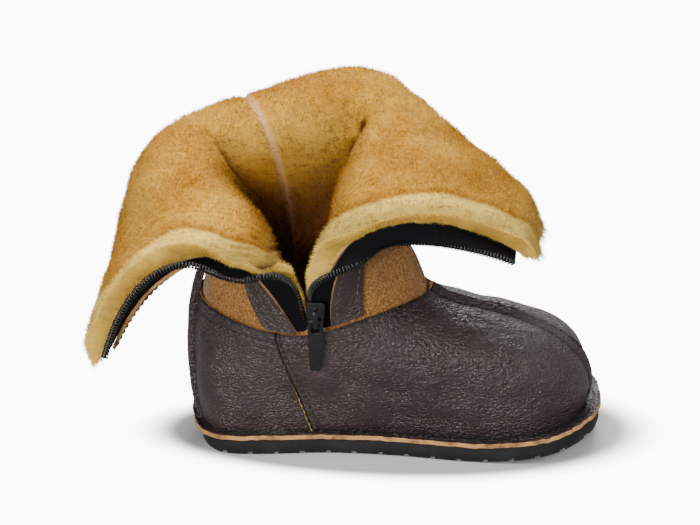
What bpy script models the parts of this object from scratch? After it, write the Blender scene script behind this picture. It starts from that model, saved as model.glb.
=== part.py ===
"""A toddler's left mukluk boot, unzipped, with its shearling shaft turned out and down.

+X runs to the toe, +Y to the outer side of the foot and +Z up. The origin is on the floor under the
middle of the heel. The zip is on the inner side, which faces -Y. All lengths are in metres.
"""

import math

import bmesh
import bpy
import numpy as np

# The foot
SOLE_LENGTH = 0.150
BALL_WIDTH = 0.063
HEEL_CENTRE = 0.026
TOE_SPRING = 0.0075
HEEL_CURL = 0.0024
HEEL_DROOP = 0.0024
INSTEP_HEIGHT = 0.0571
COLLAR_SETBACK = 0.0025
COLLAR_LENGTH = 0.0843
COLLAR_WIDTH = 0.0545

# Outsole
SOLE_THICKNESS = 0.0046
TREAD_DEPTH = 0.0013
TREAD_PITCH = 0.0094
TREAD_GAP = 0.0021
SOLE_BEVEL = 0.0009
SOLE_INSET = 0.0006
HEEL_INSET = 0.0022

# Leather of the foot, and its seams
LEATHER = 0.0016
FLANGE = 0.0030
FLANGE_AT_TOE = 0.0058
LAP = 0.0008
LAP_WIDTH = 0.0009
WELT_RISE = 0.0007
WELT_WIDTH = 0.0034

# Shearling shaft
SHAFT_LENGTH = 0.105
PILE = 0.0115
PILE_IN_FOOT = 0.0041
PILE_GROWS_OVER = 0.028
PILE_SMOOTHING = 0.30
END_LIP = 0.0075
END_SPLAY = 0.0040
ZIP_LIP = 0.0035
ZIP_SPLAY = 0.0012
TUCK = 0.0070
ZIP_AT = 0.0455
ZIP_GAP = 0.0076

# Trims
STRIP = 0.0012
PLACKET_WIDTH = 0.0135
PLACKET_SETBACK = 0.0020
HEEL_STRIP_WIDTH = 0.0125
HEEL_STRIP_ABOVE = 0.0135
HEEL_STRIP_FOOT = (0.0006, 0.0018)
TAPE = 0.0006
TAPE_SHOWN = 0.0062
TAPE_LAP = 0.0035
COIL = 0.0021
INSOLE = 0.0042
SEAT_GAP = 0.0003

TAPE_AT_SLIDER = 0.0008
COLLAR_LIFT = 0.0012

# Zip slider and its pull tab
SLIDER_LENGTH = 0.0105
SLIDER_WIDTH = 0.0070
SLIDER_PLATE = 0.0014
LOOP_SPAN = 0.0068
LOOP_WIDTH = 0.0016
LOOP_METAL = 0.0009
PULL_LENGTH = 0.0190
PULL_WIDTH = 0.0056
PULL_THICKNESS = 0.0012
PULL_WINDOW = 0.0040
PULL_ARM = 0.0012
TURN_GAP = 0.0002
LOOP_SHARE = 0.45
PIVOT_RISE = -0.0010

COLUMNS = 60
FAR_SEAM = 0.465
UP = np.array((0.0, 0.0, 1.0))

# The sole's outline. Shares of the sole's length, then shares of the ball's width.
OUTLINE = {
    "along": (0.00, 0.17, 0.34, 0.50, 0.64, 0.75, 0.88, 1.00),
    "centre": (0.000, 0.000, 0.022, 0.034, 0.030, 0.015, 0.005, 0.030),
    "half": (0.365, 0.365, 0.370, 0.420, 0.480, 0.500, 0.500, 0.480),
}
HEEL_ROUND, TOE_ROUND = (0.15, 2.7), (0.74, 2.7)

# The wall of the foot: a Bezier curve up each column, from the flange to the collar. rise and drop
# are shares of its height, reach of its plan length, and bulge and swell of the ball's width.
WALL = {
    "along": (0.00, 0.10, 0.28, 0.50, 0.72, 0.88, 1.00),
    "rise": (0.38, 0.38, 0.38, 0.42, 0.60, 0.80, 0.88),
    "bulge": (0.050, 0.055, 0.065, 0.065, 0.075, 0.080, 0.080),
    "reach": (0.00, 0.00, 0.00, 0.20, 0.34, 0.33, 0.315),
    "drop": (0.34, 0.34, 0.34, 0.33, 0.38, 0.38, 0.35),
    "swell": (0.050, 0.040, 0.030, 0.020, 0.015, 0.00, 0.00),
}

# The collar's edge, from the heel to the throat. height is a share of the instep's height.
COLLAR = {
    "along": (0.00, 0.12, 0.30, 0.42, 0.55, 0.68, 0.85, 1.00),
    "height": (0.99, 0.94, 0.875, 0.863, 0.89, 0.938, 0.985, 1.00),
}

# How blunt the collar is in plan at its back and at its front; 2 is an ellipse.
COLLAR_ROUND = (2.3, 1.80)

# How far each zip tape turns down from the suede's own surface along its length, in degrees.
DROOP = {
    "along": (0.00, 0.10, 0.32, 0.65, 1.00),
    "back": (0.0, 0.0, -4.0, 1.0, 8.0),
    "front": (0.0, 0.0, 55.0, 45.0, -5.0),
}

# The turned-out shaft, from the zip's heel side round the heel and the outer side to its toe side.
# Each column is one line up the suede: how it leans as it leaves the collar, where it crests and
# where it ends, from the heel's centre on the floor in shares of the shaft's length.
FOLDS = {
    "around": (0, 0.055, 0.11, 0.24, 0.36, 0.5, 0.62, 0.755, 0.88, 1),
    "lean_x": (-0.55, -0.3, -0.1, 0.12, 0.08, -0.05, -0.45, -0.15, -0.85, -0.18),
    "lean_y": (-0.05, 0.1, 0.1, 0.02, 0.1, 0.15, 0.1, 0, 0.06, -0.05),
    "lean_z": (0.95, 1, 1, 1, 1, 1, 1, 1, 1, 1),
    "crest_x": (-0.162, -0.1, -0.067, -0.236, -0.262, 0.076, 0.367, 0.386, 0.381, 0.457),
    "crest_y": (-0.295, -0.262, -0.195, 0.057, 0.257, 0.362, 0.324, 0.114, -0.152, -0.286),
    "crest_z": (0.77, 0.784, 0.822, 0.891, 0.965, 1.046, 1.15, 0.982, 0.927, 0.889),
    "end_x": (-0.514, -0.5, -0.495, -0.422, -0.343, 0.019, 0.429, 0.81, 0.876, 0.857),
    "end_y": (-0.314, -0.257, -0.181, 0.067, 0.362, 0.571, 0.543, 0.152, -0.114, -0.314),
    "end_z": (0.431, 0.441, 0.47, 0.531, 0.608, 0.722, 0.808, 0.779, 0.827, 0.789),
}


def smooth(table, column, at, key):
    """A smooth curve through one column of a table, read at the places at of its key column."""
    x, y = np.array(table[key], float), np.array(table[column], float)
    slope = np.gradient(y, x)
    at = np.clip(np.asarray(at, float), x[0], x[-1])
    i = np.clip(np.searchsorted(x, at, side="right") - 1, 0, len(x) - 2)
    step = x[i + 1] - x[i]
    t = (at - x[i]) / step
    return (
        y[i] * (1 + 2 * t) * (1 - t) ** 2
        + slope[i] * step * t * (1 - t) ** 2
        + y[i + 1] * t * t * (3 - 2 * t)
        - slope[i + 1] * step * t * t * (1 - t)
    )


def rounding(share):
    """How much of the full width is left near the ends of the sole."""
    heel, power = HEEL_ROUND
    behind = np.clip((heel - share) / heel, 0, 1)
    toe, toe_power = TOE_ROUND
    ahead = np.clip((share - toe) / (1 - toe), 0, 1)
    return (1 - behind**power) ** (1 / power) * (1 - ahead**toe_power) ** (1 / toe_power)


def lengthwise(turn):
    """Share of the length at a share of the way round, which starts at the heel, inner side first."""
    return (1 - np.cos(2 * math.pi * np.asarray(turn, float))) / 2


def side_of(turn):
    return np.where(np.asarray(turn) % 1 <= 0.5, -1.0, 1.0)


def outline(turn, grow=0.0):
    """Plan points on the sole's edge, moved outwards by grow."""
    turn = np.asarray(turn, float)

    def edge(at):
        share = lengthwise(at)
        half = smooth(OUTLINE, "half", share, "along") * rounding(share)
        centre = smooth(OUTLINE, "centre", share, "along")
        x = share * SOLE_LENGTH - HEEL_CENTRE
        return np.stack([x, BALL_WIDTH * (centre + side_of(at) * half)], -1)

    small = 1e-3
    run = edge(turn + small) - edge(turn - small)
    out = np.stack([run[..., 1], -run[..., 0]], -1)
    out = out / np.linalg.norm(out, axis=-1, keepdims=True)
    return edge(turn) + out * np.asarray(grow)[..., None], out


def lift(x):
    """Height of the tread's plane over the floor, which rises under the toe and the heel's end."""
    share = (np.asarray(x, float) + HEEL_CENTRE) / SOLE_LENGTH
    toe = np.clip((share - 0.64) / 0.36, 0, None)
    heel = np.clip((0.09 - share) / 0.09, 0, None)
    return TOE_SPRING * toe**1.9 + HEEL_CURL * heel**2


def sole_top(x):
    share = (np.asarray(x, float) + HEEL_CENTRE) / SOLE_LENGTH
    heel = np.clip((0.09 - share) / 0.09, 0, None)
    return lift(x) + TREAD_DEPTH + SOLE_THICKNESS - HEEL_DROOP * heel**2


def with_height(plan, height):
    return np.concatenate([plan, np.asarray(height)[..., None]], -1)


def flange_width(turn):
    share = lengthwise(turn)
    return FLANGE + (FLANGE_AT_TOE - FLANGE) * np.clip((share - 0.72) / 0.28, 0, 1) ** 1.5


def collar(turn):
    """The collar's edge on the leather's outer face."""
    share = lengthwise(turn)
    span = np.abs(2 * share - 1)
    power = np.where(share < 0.5, *COLLAR_ROUND)
    half = COLLAR_WIDTH / 2 * (1 - span**power) ** (1 / power)
    x = share * COLLAR_LENGTH + COLLAR_SETBACK - HEEL_CENTRE
    height = INSTEP_HEIGHT * smooth(COLLAR, "height", share, "along")
    return np.stack([x, side_of(turn) * half, height], -1)


def wall(turn, up):
    """Points on the outer face of the leather foot, for columns turn and shares up of the height."""
    turn, up = np.broadcast_arrays(np.asarray(turn, float), np.asarray(up, float))
    share = lengthwise(turn)
    plan, out = outline(turn, -flange_width(turn))
    foot = with_height(plan, sole_top(plan[..., 0]) + SEAT_GAP + LEATHER)
    top = collar(turn)
    away = with_height(out, np.zeros(turn.shape))
    height = (top - foot)[..., 2:]

    def read(column):
        return smooth(WALL, column, share, "along")[..., None]

    low = foot + UP * height * read("rise") + away * BALL_WIDTH * read("bulge")
    inwards = (foot - top) * (1, 1, 0)
    high = top + inwards * read("reach") - UP * height * read("drop")
    high = high + away * BALL_WIDTH * read("swell")
    t = up[..., None]
    return (
        foot * (1 - t) ** 3
        + 3 * low * t * (1 - t) ** 2
        + 3 * high * t * t * (1 - t)
        + top * t**3
    )


def wall_normal(turn, up):
    """Unit vectors out of the leather."""
    small = 1e-3
    low, high = np.clip(up - small, 0, 1), np.clip(up + small, 0, 1)
    along = wall(turn + small, up) - wall(turn - small, up)
    rising = wall(turn, high) - wall(turn, low)
    out = np.cross(along, rising)
    return out / np.linalg.norm(out, axis=-1, keepdims=True)


def add_object(name, points, faces, colour, roughness, metallic=0.0):
    mesh = bpy.data.meshes.new(name)
    mesh.from_pydata([tuple(p) for p in points], [], faces)
    shaped = bmesh.new()
    shaped.from_mesh(mesh)
    bmesh.ops.remove_doubles(shaped, verts=shaped.verts, dist=1e-6)
    bmesh.ops.recalc_face_normals(shaped, faces=shaped.faces)
    shaped.to_mesh(mesh)
    shaped.free()
    mesh.shade_smooth()
    mesh.set_sharp_from_angle(angle=math.radians(40))
    made = bpy.data.objects.new(name, mesh)
    bpy.context.scene.collection.objects.link(made)
    mesh.materials.append(material(name, colour, roughness, metallic))
    return made


def material(name, colour, roughness, metallic):
    made = bpy.data.materials.new(name)
    made.use_nodes = True
    shader = made.node_tree.nodes["Principled BSDF"]
    shader.inputs["Base Color"].default_value = (*colour, 1)
    shader.inputs["Roughness"].default_value = roughness
    shader.inputs["Metallic"].default_value = metallic
    return made


def loft(sections, closed, strips=False):
    """Points and faces of a skin over sections, each a closed loop with as many points.

    The ends are one face each, or strips from side to side where an end is too bent for that.
    """
    rows, around = len(sections), len(sections[0])
    points = np.concatenate(sections)
    faces = []
    for i in range(rows if closed else rows - 1):
        here, there = i * around, (i + 1) % rows * around
        for k in range(around):
            after = (k + 1) % around
            faces.append((here + k, here + after, there + after, there + k))
    if closed:
        return points, faces
    for base in (0, (rows - 1) * around):
        ends = [tuple(range(base, base + around))]
        if strips:
            last = base + around - 1
            steps = range(around // 2 - 1)
            ends = [(base + k, base + k + 1, last - k - 1) for k in steps]
            ends += [(base + k, last - k - 1, last - k) for k in steps]
        faces += ends if base else [end[::-1] for end in ends]
    return points, faces


def sheet_solid(front, back):
    """Points and faces of a solid between two grids of points, joined round their borders."""
    rows, columns = front.shape[:2]
    loops = []
    for r in range(rows):
        loops.append(np.concatenate([front[r], back[r][::-1]]))
    return loft(loops, closed=False, strips=True)


def tread_stations():
    """Stations along the sole with the depth of tread that each has, stepping at each groove.

    A block is centred under the heel's centre, where the boot rests.
    """
    slope = 0.0003
    found = [(0.0008, 1.0), (0.0030, 1.0), (0.0065, 1.0)]
    start = (HEEL_CENTRE - (TREAD_PITCH + TREAD_GAP) / 2) % TREAD_PITCH + TREAD_PITCH
    while start < SOLE_LENGTH - TREAD_PITCH * 0.45:
        found += [(start, 1.0), (start + slope, 0.0)]
        found += [(start + TREAD_GAP - slope, 0.0), (start + TREAD_GAP, 1.0)]
        start += TREAD_PITCH
    found += [(SOLE_LENGTH - 0.0025, 1.0), (SOLE_LENGTH - 0.0008, 1.0)]
    return found


def make_outsole():
    """Rubber sole with blocks of tread between cross grooves and two long ones."""
    grooves = ((-0.36, -0.30), (0.30, 0.36))
    sections = []
    for place, tread in tread_stations():
        share = place / SOLE_LENGTH
        turn = math.acos(1 - 2 * share) / (2 * math.pi)
        inset = SOLE_INSET + HEEL_INSET * max(0.0, 1 - share / 0.09) ** 2
        (inner, _), (outer, _) = outline(turn, -inset), outline(1 - turn, -inset)
        x = (inner[0] + outer[0]) / 2
        middle, half = (inner[1] + outer[1]) / 2, (outer[1] - inner[1]) / 2
        bottom = lift(x)
        shoulder = bottom + TREAD_DEPTH
        edge = min(SOLE_BEVEL, half * 0.2)
        across = [-half + edge]
        for low, high in grooves:
            across += [half * low * 1.7, half * low * 1.7, half * high * 1.7, half * high * 1.7]
        across += [half - edge]
        depth = bottom + TREAD_DEPTH * (1 - tread)
        heights = [depth, depth, shoulder, shoulder, depth, depth, shoulder, shoulder, depth, depth]
        loop = [(x, middle + y, z) for y, z in zip(across, heights)]
        top = float(sole_top(x))
        loop += [(x, middle + half, shoulder), (x, middle + half, top)]
        loop += [(x, middle - half, top), (x, middle - half, shoulder)]
        sections.append(np.array(loop))
    return add_object("outsole", *loft(sections, closed=False), (0.018, 0.018, 0.019), 0.6)


def seam_turn():
    """Where the vamp laps over the heel quarter, as a share of the way round."""
    return math.acos(1 - 2 * 0.305) / (2 * math.pi)


def foot_columns():
    """Columns round the foot, with two close together at each lap."""
    even = np.linspace(0, 1, COLUMNS, endpoint=False) + 0.5 / COLUMNS
    lap, step = seam_turn(), LAP_WIDTH / SOLE_LENGTH / 2
    away = [np.abs(even - at) > 0.010 for at in (lap, 1 - lap)]
    kept = even[away[0] & away[1]]
    return np.sort(np.concatenate([kept, [lap - step, lap + step, 1 - lap - step, 1 - lap + step]]))


def lapped(turn):
    """How much thicker the leather is where the vamp lies over the quarter."""
    ahead = (turn > seam_turn()) & (turn < 1 - seam_turn())
    return np.where(ahead, LAP, 0.0)


def welted(points):
    """Height of the raised seam down the middle of the vamp at these points."""
    ahead = np.clip((points[..., 0] + HEEL_CENTRE - COLLAR_LENGTH * 0.97) / 0.004, 0, 1)
    beside = np.clip(1 - np.abs(points[..., 1] - seam_line(points[..., 0])) / WELT_WIDTH * 2, 0, 1)
    return WELT_RISE * ahead * beside


def seam_line(x):
    share = (x + HEEL_CENTRE) / SOLE_LENGTH
    return BALL_WIDTH * smooth(OUTLINE, "centre", share, "along") * np.clip(share * 3 - 1.9, 0, 1)


def make_upper():
    """The leather foot: one hollow solid, open at the collar and underneath, with its flange."""
    ups = np.linspace(0, 1, 13)
    sections = []
    for turn in foot_columns():
        outer = wall(turn, ups)
        out = wall_normal(np.full(len(ups), turn), ups)
        inner = outer - out * LEATHER
        thick = lapped(turn) * np.clip(ups * 30, 0, 1) + welted(outer)
        face = outer + out * thick[:, None]
        plan, away = outline(turn)
        base = sole_top(plan[0]) + SEAT_GAP
        rim = [(*plan, base), (*plan, base + LEATHER)]
        foot = inner[0] * (1, 1, 0) + UP * (sole_top(inner[0][0]) + SEAT_GAP)
        loop = np.concatenate([rim, face, inner[::-1][:-1], [foot]])
        sections.append(loop)
    return add_object("upper", *loft(sections, closed=True), (0.040, 0.027, 0.024), 0.45)


def make_insole():
    """Sheepskin footbed, seated on the outsole inside the flange."""
    turns = np.linspace(0, 1, 44, endpoint=False) + 0.5 / 44
    inset = flange_width(turns) + LEATHER + 2 * SEAT_GAP
    plan, _ = outline(turns, -inset)
    low = with_height(plan, sole_top(plan[:, 0]) + SEAT_GAP)
    edge, _ = outline(turns, -inset - 0.0012)
    shoulder = with_height(plan, low[:, 2] + INSOLE * 0.7)
    top = with_height(edge, sole_top(edge[:, 0]) + SEAT_GAP + INSOLE)
    return add_object("insole", *loft([low, shoulder, top], closed=False, strips=True), (0.62, 0.45, 0.25), 0.95)


def zip_turn(x):
    """Way round at which the collar's inner side passes over x."""
    share = (x + HEEL_CENTRE - COLLAR_SETBACK) / COLLAR_LENGTH
    return math.acos(1 - 2 * share) / (2 * math.pi)


def shaft_turn(around):
    """Way round for a share of the way from the zip's heel side, past the heel, to its toe side."""
    back = zip_turn(ZIP_AT - HEEL_CENTRE - ZIP_GAP / 2)
    front = zip_turn(ZIP_AT - HEEL_CENTRE + ZIP_GAP / 2)
    return (back - np.asarray(around, float) * (1 - front + back)) % 1


def shaft_foot(around):
    """Where the suede passes up through the collar, just inside its edge."""
    turn = shaft_turn(around)
    edge = collar(turn)
    small = 1e-3
    run = collar(turn + small) - collar(turn - small)
    out = np.stack([run[..., 1], -run[..., 0], np.zeros_like(turn)], -1)
    out = out / np.linalg.norm(out, axis=-1, keepdims=True)
    leaning = wall_normal(turn, np.full(turn.shape, 1.0))
    inset = LEATHER * np.linalg.norm(leaning[..., :2], axis=-1) + SEAT_GAP
    return edge - out * inset[..., None]


def fold_line(around, run):
    """Points on the suede for shares run of each line's length, with a row for each of around."""
    around = np.asarray(around, float)

    def read(kind):
        columns = [smooth(FOLDS, f"{kind}_{axis}", around, "around") for axis in "xyz"]
        return np.stack(columns, -1)

    foot, crest, end = shaft_foot(around), SHAFT_LENGTH * read("crest"), SHAFT_LENGTH * read("end")
    first = np.linalg.norm(crest - foot, axis=-1, keepdims=True)
    second = np.linalg.norm(end - crest, axis=-1, keepdims=True)
    over = end - foot
    over[:, 2] *= 0.35
    over = over / np.linalg.norm(over, axis=-1, keepdims=True)
    leaving = read("lean")
    leaving = leaving / np.linalg.norm(leaving, axis=-1, keepdims=True) * 1.25
    ending = (end - crest) / second * 1.5 - over * 0.7
    knots = np.linspace(0, 1, 41)[None, :, None]
    rise = hermite(foot, crest, leaving * first, over * first * 1.1, knots)
    fall = hermite(crest, end, over * second * 1.1, ending * second, knots)
    line = np.concatenate([rise, fall[:, 1:]], 1)
    steps = np.linalg.norm(np.diff(line, axis=1), axis=-1)
    length = np.concatenate([np.zeros((len(around), 1)), np.cumsum(steps, 1)], 1)
    rows = []
    for along, points in zip(length, line):
        at = np.asarray(run) * along[-1]
        rows.append(np.stack([np.interp(at, along, points[:, k]) for k in range(3)], -1))
    return np.array(rows)


def hermite(start, end, leave, arrive, t):
    return (
        start[:, None] * (1 + 2 * t) * (1 - t) ** 2
        + leave[:, None] * t * (1 - t) ** 2
        + end[:, None] * t * t * (3 - 2 * t)
        - arrive[:, None] * t * t * (1 - t)
    )


def shaft_columns():
    """Shares of the way round, closer together at the two zip edges."""
    even = np.linspace(0, 1, 41)
    return even - 0.55 * np.sin(2 * math.pi * even) / (2 * math.pi)


def shaft_rows():
    return np.linspace(0, 1, 21)


def normals_of(grid):
    """Unit vectors on the fleece side of a grid of points."""
    across = np.gradient(grid, axis=0)
    rising = np.gradient(grid, axis=1)
    out = np.cross(across, rising)
    return out / np.linalg.norm(out, axis=-1, keepdims=True)


def edge_pile(distance, lip, at_edge):
    """Share of the full pile at a distance from a cut edge, rounded over the lip."""
    inside = np.clip(1 - distance / lip, 0, 1)
    return at_edge + (1 - at_edge) * np.sqrt(np.clip(1 - inside**2, 0, 1))


def grow_pile(suede, pile):
    """The fleece side, grown out of the suede in steps that are smoothed so that it can't cross."""
    fleece, steps = suede.copy(), 10
    for _ in range(steps):
        fleece = fleece + normals_of(fleece) * pile[..., None] / steps
        beside = (fleece[:-2, 1:-1] + fleece[2:, 1:-1] + fleece[1:-1, :-2] + fleece[1:-1, 2:]) / 4
        fleece[1:-1, 1:-1] += (beside - fleece[1:-1, 1:-1]) * PILE_SMOOTHING
    return fleece


def shaft_grids():
    """The suede side and the fleece side of the shaft, with the row tucked into the foot first."""
    around, run = shaft_columns(), shaft_rows()
    suede = fold_line(around, run)
    suede = np.concatenate([suede[:, :1] - UP * TUCK, suede], 1)
    out = normals_of(suede)
    steps = np.linalg.norm(np.diff(suede, axis=0), axis=-1)
    place = np.concatenate([np.zeros((1, suede.shape[1])), np.cumsum(steps, 0)])
    from_back, from_front = place, place[-1] - place
    up_line = np.concatenate([[-TUCK], run * SHAFT_LENGTH])
    from_end = SHAFT_LENGTH - up_line
    grown = np.clip((up_line + TUCK) / PILE_GROWS_OVER, 0, 1)
    pile = PILE_IN_FOOT + (PILE - PILE_IN_FOOT) * grown[None, :]
    pile = pile * edge_pile(np.minimum(from_back, from_front), ZIP_LIP, 0.72)
    pile = pile * edge_pile(from_end, END_LIP, 0.40)[None, :]
    along = np.gradient(suede, axis=1)
    along = along / np.linalg.norm(along, axis=-1, keepdims=True)
    across = np.cross(along, out)
    splay = along * END_SPLAY * np.clip(1 - from_end / END_LIP / 2, 0, 1)[None, :, None] ** 2
    back = np.clip(1 - from_back / ZIP_LIP / 2, 0, 1) ** 2
    front = np.clip(1 - from_front / ZIP_LIP / 2, 0, 1) ** 2
    splay = splay + across * ZIP_SPLAY * ((front - back) * grown[None, :])[..., None]
    return suede, grow_pile(suede, pile) + splay


def make_shaft(side):
    """One of the two skins of the shaft, which meet at a seam on the far side."""
    before = int(np.searchsorted(shaft_columns(), FAR_SEAM)) - 1
    grids = []
    for grid in shaft_grids():
        width = np.linalg.norm(grid[before + 1] - grid[before], axis=-1, keepdims=True)
        place = 0.5 + (SEAT_GAP / 2 / width) * (-1 if side == "back" else 1)
        seam = grid[before] * (1 - place) + grid[before + 1] * place
        kept = [grid[: before + 1], seam[None]] if side == "back" else [seam[None], grid[before + 1 :]]
        grids.append(np.concatenate(kept))
    return add_object(f"shaft_{side}", *sheet_solid(*grids), (0.50, 0.30, 0.13), 0.95)


def zip_edge(side, run):
    """Points along one zip edge of the suede, with unit vectors along it, outwards and to the pile."""
    around = np.array([0.0, 0.012]) if side == "back" else np.array([1.0, 0.988])
    small = 2e-3
    lines = fold_line(around, run)
    ahead = fold_line(around, np.clip(run + small, 0, 1))
    behind = fold_line(around, np.clip(run - small, 0, 1))
    along = ahead[0] - behind[0]
    outwards = lines[0] - lines[1]
    turned = 1 if side == "back" else -1
    pile = np.cross(along, outwards) * turned
    along = along / np.linalg.norm(along, axis=-1, keepdims=True)
    pile = pile / np.linalg.norm(pile, axis=-1, keepdims=True)
    return lines[0], along, np.cross(pile, along) * turned, pile


def tape_shown(run):
    """Width of tape that shows beyond the leather: narrow at the slider, where the zip meets."""
    grown = np.clip(run / 0.22, 0, 1)
    return TAPE_AT_SLIDER + (TAPE_SHOWN - TAPE_AT_SLIDER) * grown * grown * (3 - 2 * grown)


def tape_point(side, run, across, below):
    """Points on a zip tape: across from the suede's edge and below the suede, bending as it droops."""
    edge, _, outwards, pile = zip_edge(side, run)
    droop = np.radians(smooth(DROOP, side, run, "along"))[:, None]
    bend = np.cos(droop) * outwards - np.sin(droop) * pile
    turned = np.cos(droop) * pile + np.sin(droop) * outwards
    across = np.broadcast_to(across, run.shape)[:, None]
    mitre = (pile + turned) / (1 + np.cos(droop))
    return edge + across * bend - below * np.where(across > 0, turned, mitre)


def edge_rows():
    """The shaft's own rows, which the pieces along its zip edges follow."""
    return np.concatenate([[0.012], shaft_rows()[1:-1], [0.985]])


def make_zip_tape(side):
    run = edge_rows()
    rows = []
    for below in (SEAT_GAP, SEAT_GAP + TAPE):
        points, normals = strip_along_edge(side, run, np.array([1.0, 0.5]) * TAPE_LAP)
        lap = points - normals * below
        near = tape_point(side, run, 0.0, below)
        far = tape_point(side, run, tape_shown(run), below)
        rows.append(np.concatenate([lap, near[:, None], far[:, None]], 1))
    return add_object(f"zip_tape_{side}", *sheet_solid(rows[0], rows[1]), (0.02, 0.02, 0.02), 0.8)


def coil_line(side, run):
    """Middle of a row of teeth, beside the tape's edge, with the unit vectors off the tape."""
    beside = tape_shown(run) + SEAT_GAP + COIL / 2
    centre = tape_point(side, run, beside, SEAT_GAP + TAPE / 2)
    out = centre - tape_point(side, run, tape_shown(run), SEAT_GAP + TAPE / 2)
    return centre, out / np.linalg.norm(out, axis=-1, keepdims=True)


def make_zip_coil(side):
    """The row of teeth, as one plain cord along the tape's edge."""
    centre, out = coil_line(side, np.linspace(0.014, 0.982, 40))
    along = np.gradient(centre, axis=0)
    along = along / np.linalg.norm(along, axis=-1, keepdims=True)
    third = np.cross(along, out)
    sections = []
    for k in range(len(centre)):
        turns = 2 * math.pi * (np.arange(6) + 0.5) / 6
        ring = [centre[k] + COIL / 2 * (math.cos(t) * out[k] + math.sin(t) * third[k]) for t in turns]
        sections.append(np.array(ring))
    return add_object(f"zip_coil_{side}", *loft(sections, closed=False), (0.02, 0.02, 0.02), 0.4)


def strip_along_edge(side, run, widths):
    """Points and normals on the suede at widths in from a zip edge, measured along the surface."""
    around = np.linspace(0, 0.30, 40) if side == "back" else np.linspace(1, 0.70, 40)
    grid = fold_line(around, run)
    normal = normals_of(grid if side == "back" else grid[::-1])
    normal = normal if side == "back" else normal[::-1]
    steps = np.linalg.norm(np.diff(grid, axis=0), axis=-1)
    place = np.concatenate([np.zeros((1, len(run))), np.cumsum(steps, 0)])
    points, normals = [], []
    for r in range(len(run)):
        at = widths[r] if np.ndim(widths) == 2 else widths
        points.append([[np.interp(w, place[:, r], grid[:, r, k]) for k in range(3)] for w in at])
        normals.append([[np.interp(w, place[:, r], normal[:, r, k]) for k in range(3)] for w in at])
    points, normals = np.array(points), np.array(normals)
    return points, normals / np.linalg.norm(normals, axis=-1, keepdims=True)


def make_placket(side):
    """Leather facing on the suede side of one zip edge, over the tape's lap."""
    start = (COLLAR_LIFT + SEAT_GAP) / SHAFT_LENGTH
    run = np.concatenate([[start], edge_rows()[1:]])
    widths = np.concatenate([[PLACKET_SETBACK], np.linspace(TAPE_LAP, PLACKET_WIDTH, 4)])
    points, normals = strip_along_edge(side, run, widths)
    below = 2 * SEAT_GAP + TAPE
    top, bottom = points - normals * below, points - normals * (below + STRIP)
    grids = (top, bottom) if side == "back" else (bottom, top)
    return add_object(f"placket_{side}", *sheet_solid(*grids), (0.045, 0.03, 0.027), 0.5)


def make_backstay():
    """Strip up the back seam, from the flange to a free end above the collar."""
    turns = np.linspace(-0.12, 0.12, 61)
    places = wall(turns, np.full(turns.shape, 0.5))[:, 1]
    order = np.argsort(places)
    inner, outer = [], []
    for share in (-0.5, -0.25, 0.0, 0.25, 0.5):
        turn = float(np.interp(share * HEEL_STRIP_WIDTH, places[order], turns[order]))
        ups = np.array([0.05, 0.12, 0.22, 0.34, 0.46, 0.58, 0.70, 0.80, 0.90, 1.0])
        points = wall(np.full(ups.shape, turn), ups)
        normals = wall_normal(np.full(ups.shape, turn), ups)
        plan, away = outline(turn, -np.array(HEEL_STRIP_FOOT))
        base = sole_top(plan[:, 0]) + SEAT_GAP + LEATHER
        foot = with_height(plan, base)
        out = np.append(away if np.ndim(away) == 1 else away[0], 0.0)
        corner = wall(np.array([turn]), np.array([0.0]))[0]
        mitre = UP + out
        rising = points[-1] - points[-2]
        rising = rising / np.linalg.norm(rising)
        above = points[-1] + rising * np.array([[0.5], [1.0]]) * HEEL_STRIP_ABOVE
        path = np.concatenate([foot, corner[None], points, above])
        facing = np.concatenate([[UP, UP], mitre[None], normals, normals[-1:], normals[-1:]])
        inner.append(path + facing * SEAT_GAP)
        outer.append(path + facing * (SEAT_GAP + STRIP))
    inner, outer = np.array(inner), np.array(outer)
    return add_object("backstay", *sheet_solid(inner, outer), (0.045, 0.03, 0.027), 0.45)


def slider_frame():
    """Middle of the slider's lower back edge, just in front of the two rows of teeth that it joins."""
    run = np.linspace(0.014, 2 * SLIDER_LENGTH / SHAFT_LENGTH, 41)
    rows = np.concatenate([coil_line(side, run)[0] for side in ("back", "front")])
    x, low = ZIP_AT - HEEL_CENTRE, rows[0, 2] + COLLAR_LIFT
    reach = (SLIDER_WIDTH + COIL) / 2 + SEAT_GAP
    inside = (np.abs(rows[:, 0] - x) < reach) & (rows[:, 2] < low + SLIDER_LENGTH + COIL / 2 + SEAT_GAP)
    return np.array([x, rows[inside, 1].min() - COIL / 2 - SEAT_GAP, low])


def block(name, outline_points, low, high, colour, roughness, holes=()):
    """A plate in the plane of X and Z between two depths in Y, from an outline and its holes."""
    shaped = bmesh.new()
    edges = []
    for loop in (outline_points, *holes):
        corners = [shaped.verts.new((x, low, z)) for x, z in loop]
        for k, corner in enumerate(corners):
            edges.append(shaped.edges.new((corner, corners[(k + 1) % len(corners)])))
    bmesh.ops.triangle_fill(shaped, use_beauty=True, use_dissolve=False, edges=edges)
    faces = list(shaped.faces)
    grown = bmesh.ops.extrude_face_region(shaped, geom=faces)
    for item in grown["geom"]:
        if isinstance(item, bmesh.types.BMVert):
            item.co.y = high
    bmesh.ops.recalc_face_normals(shaped, faces=shaped.faces)
    points = [tuple(v.co) for v in shaped.verts]
    shaped.verts.index_update()
    polygons = [[v.index for v in f.verts] for f in shaped.faces]
    shaped.free()
    return add_object(name, points, polygons, colour, roughness, metallic=0.0)


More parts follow.
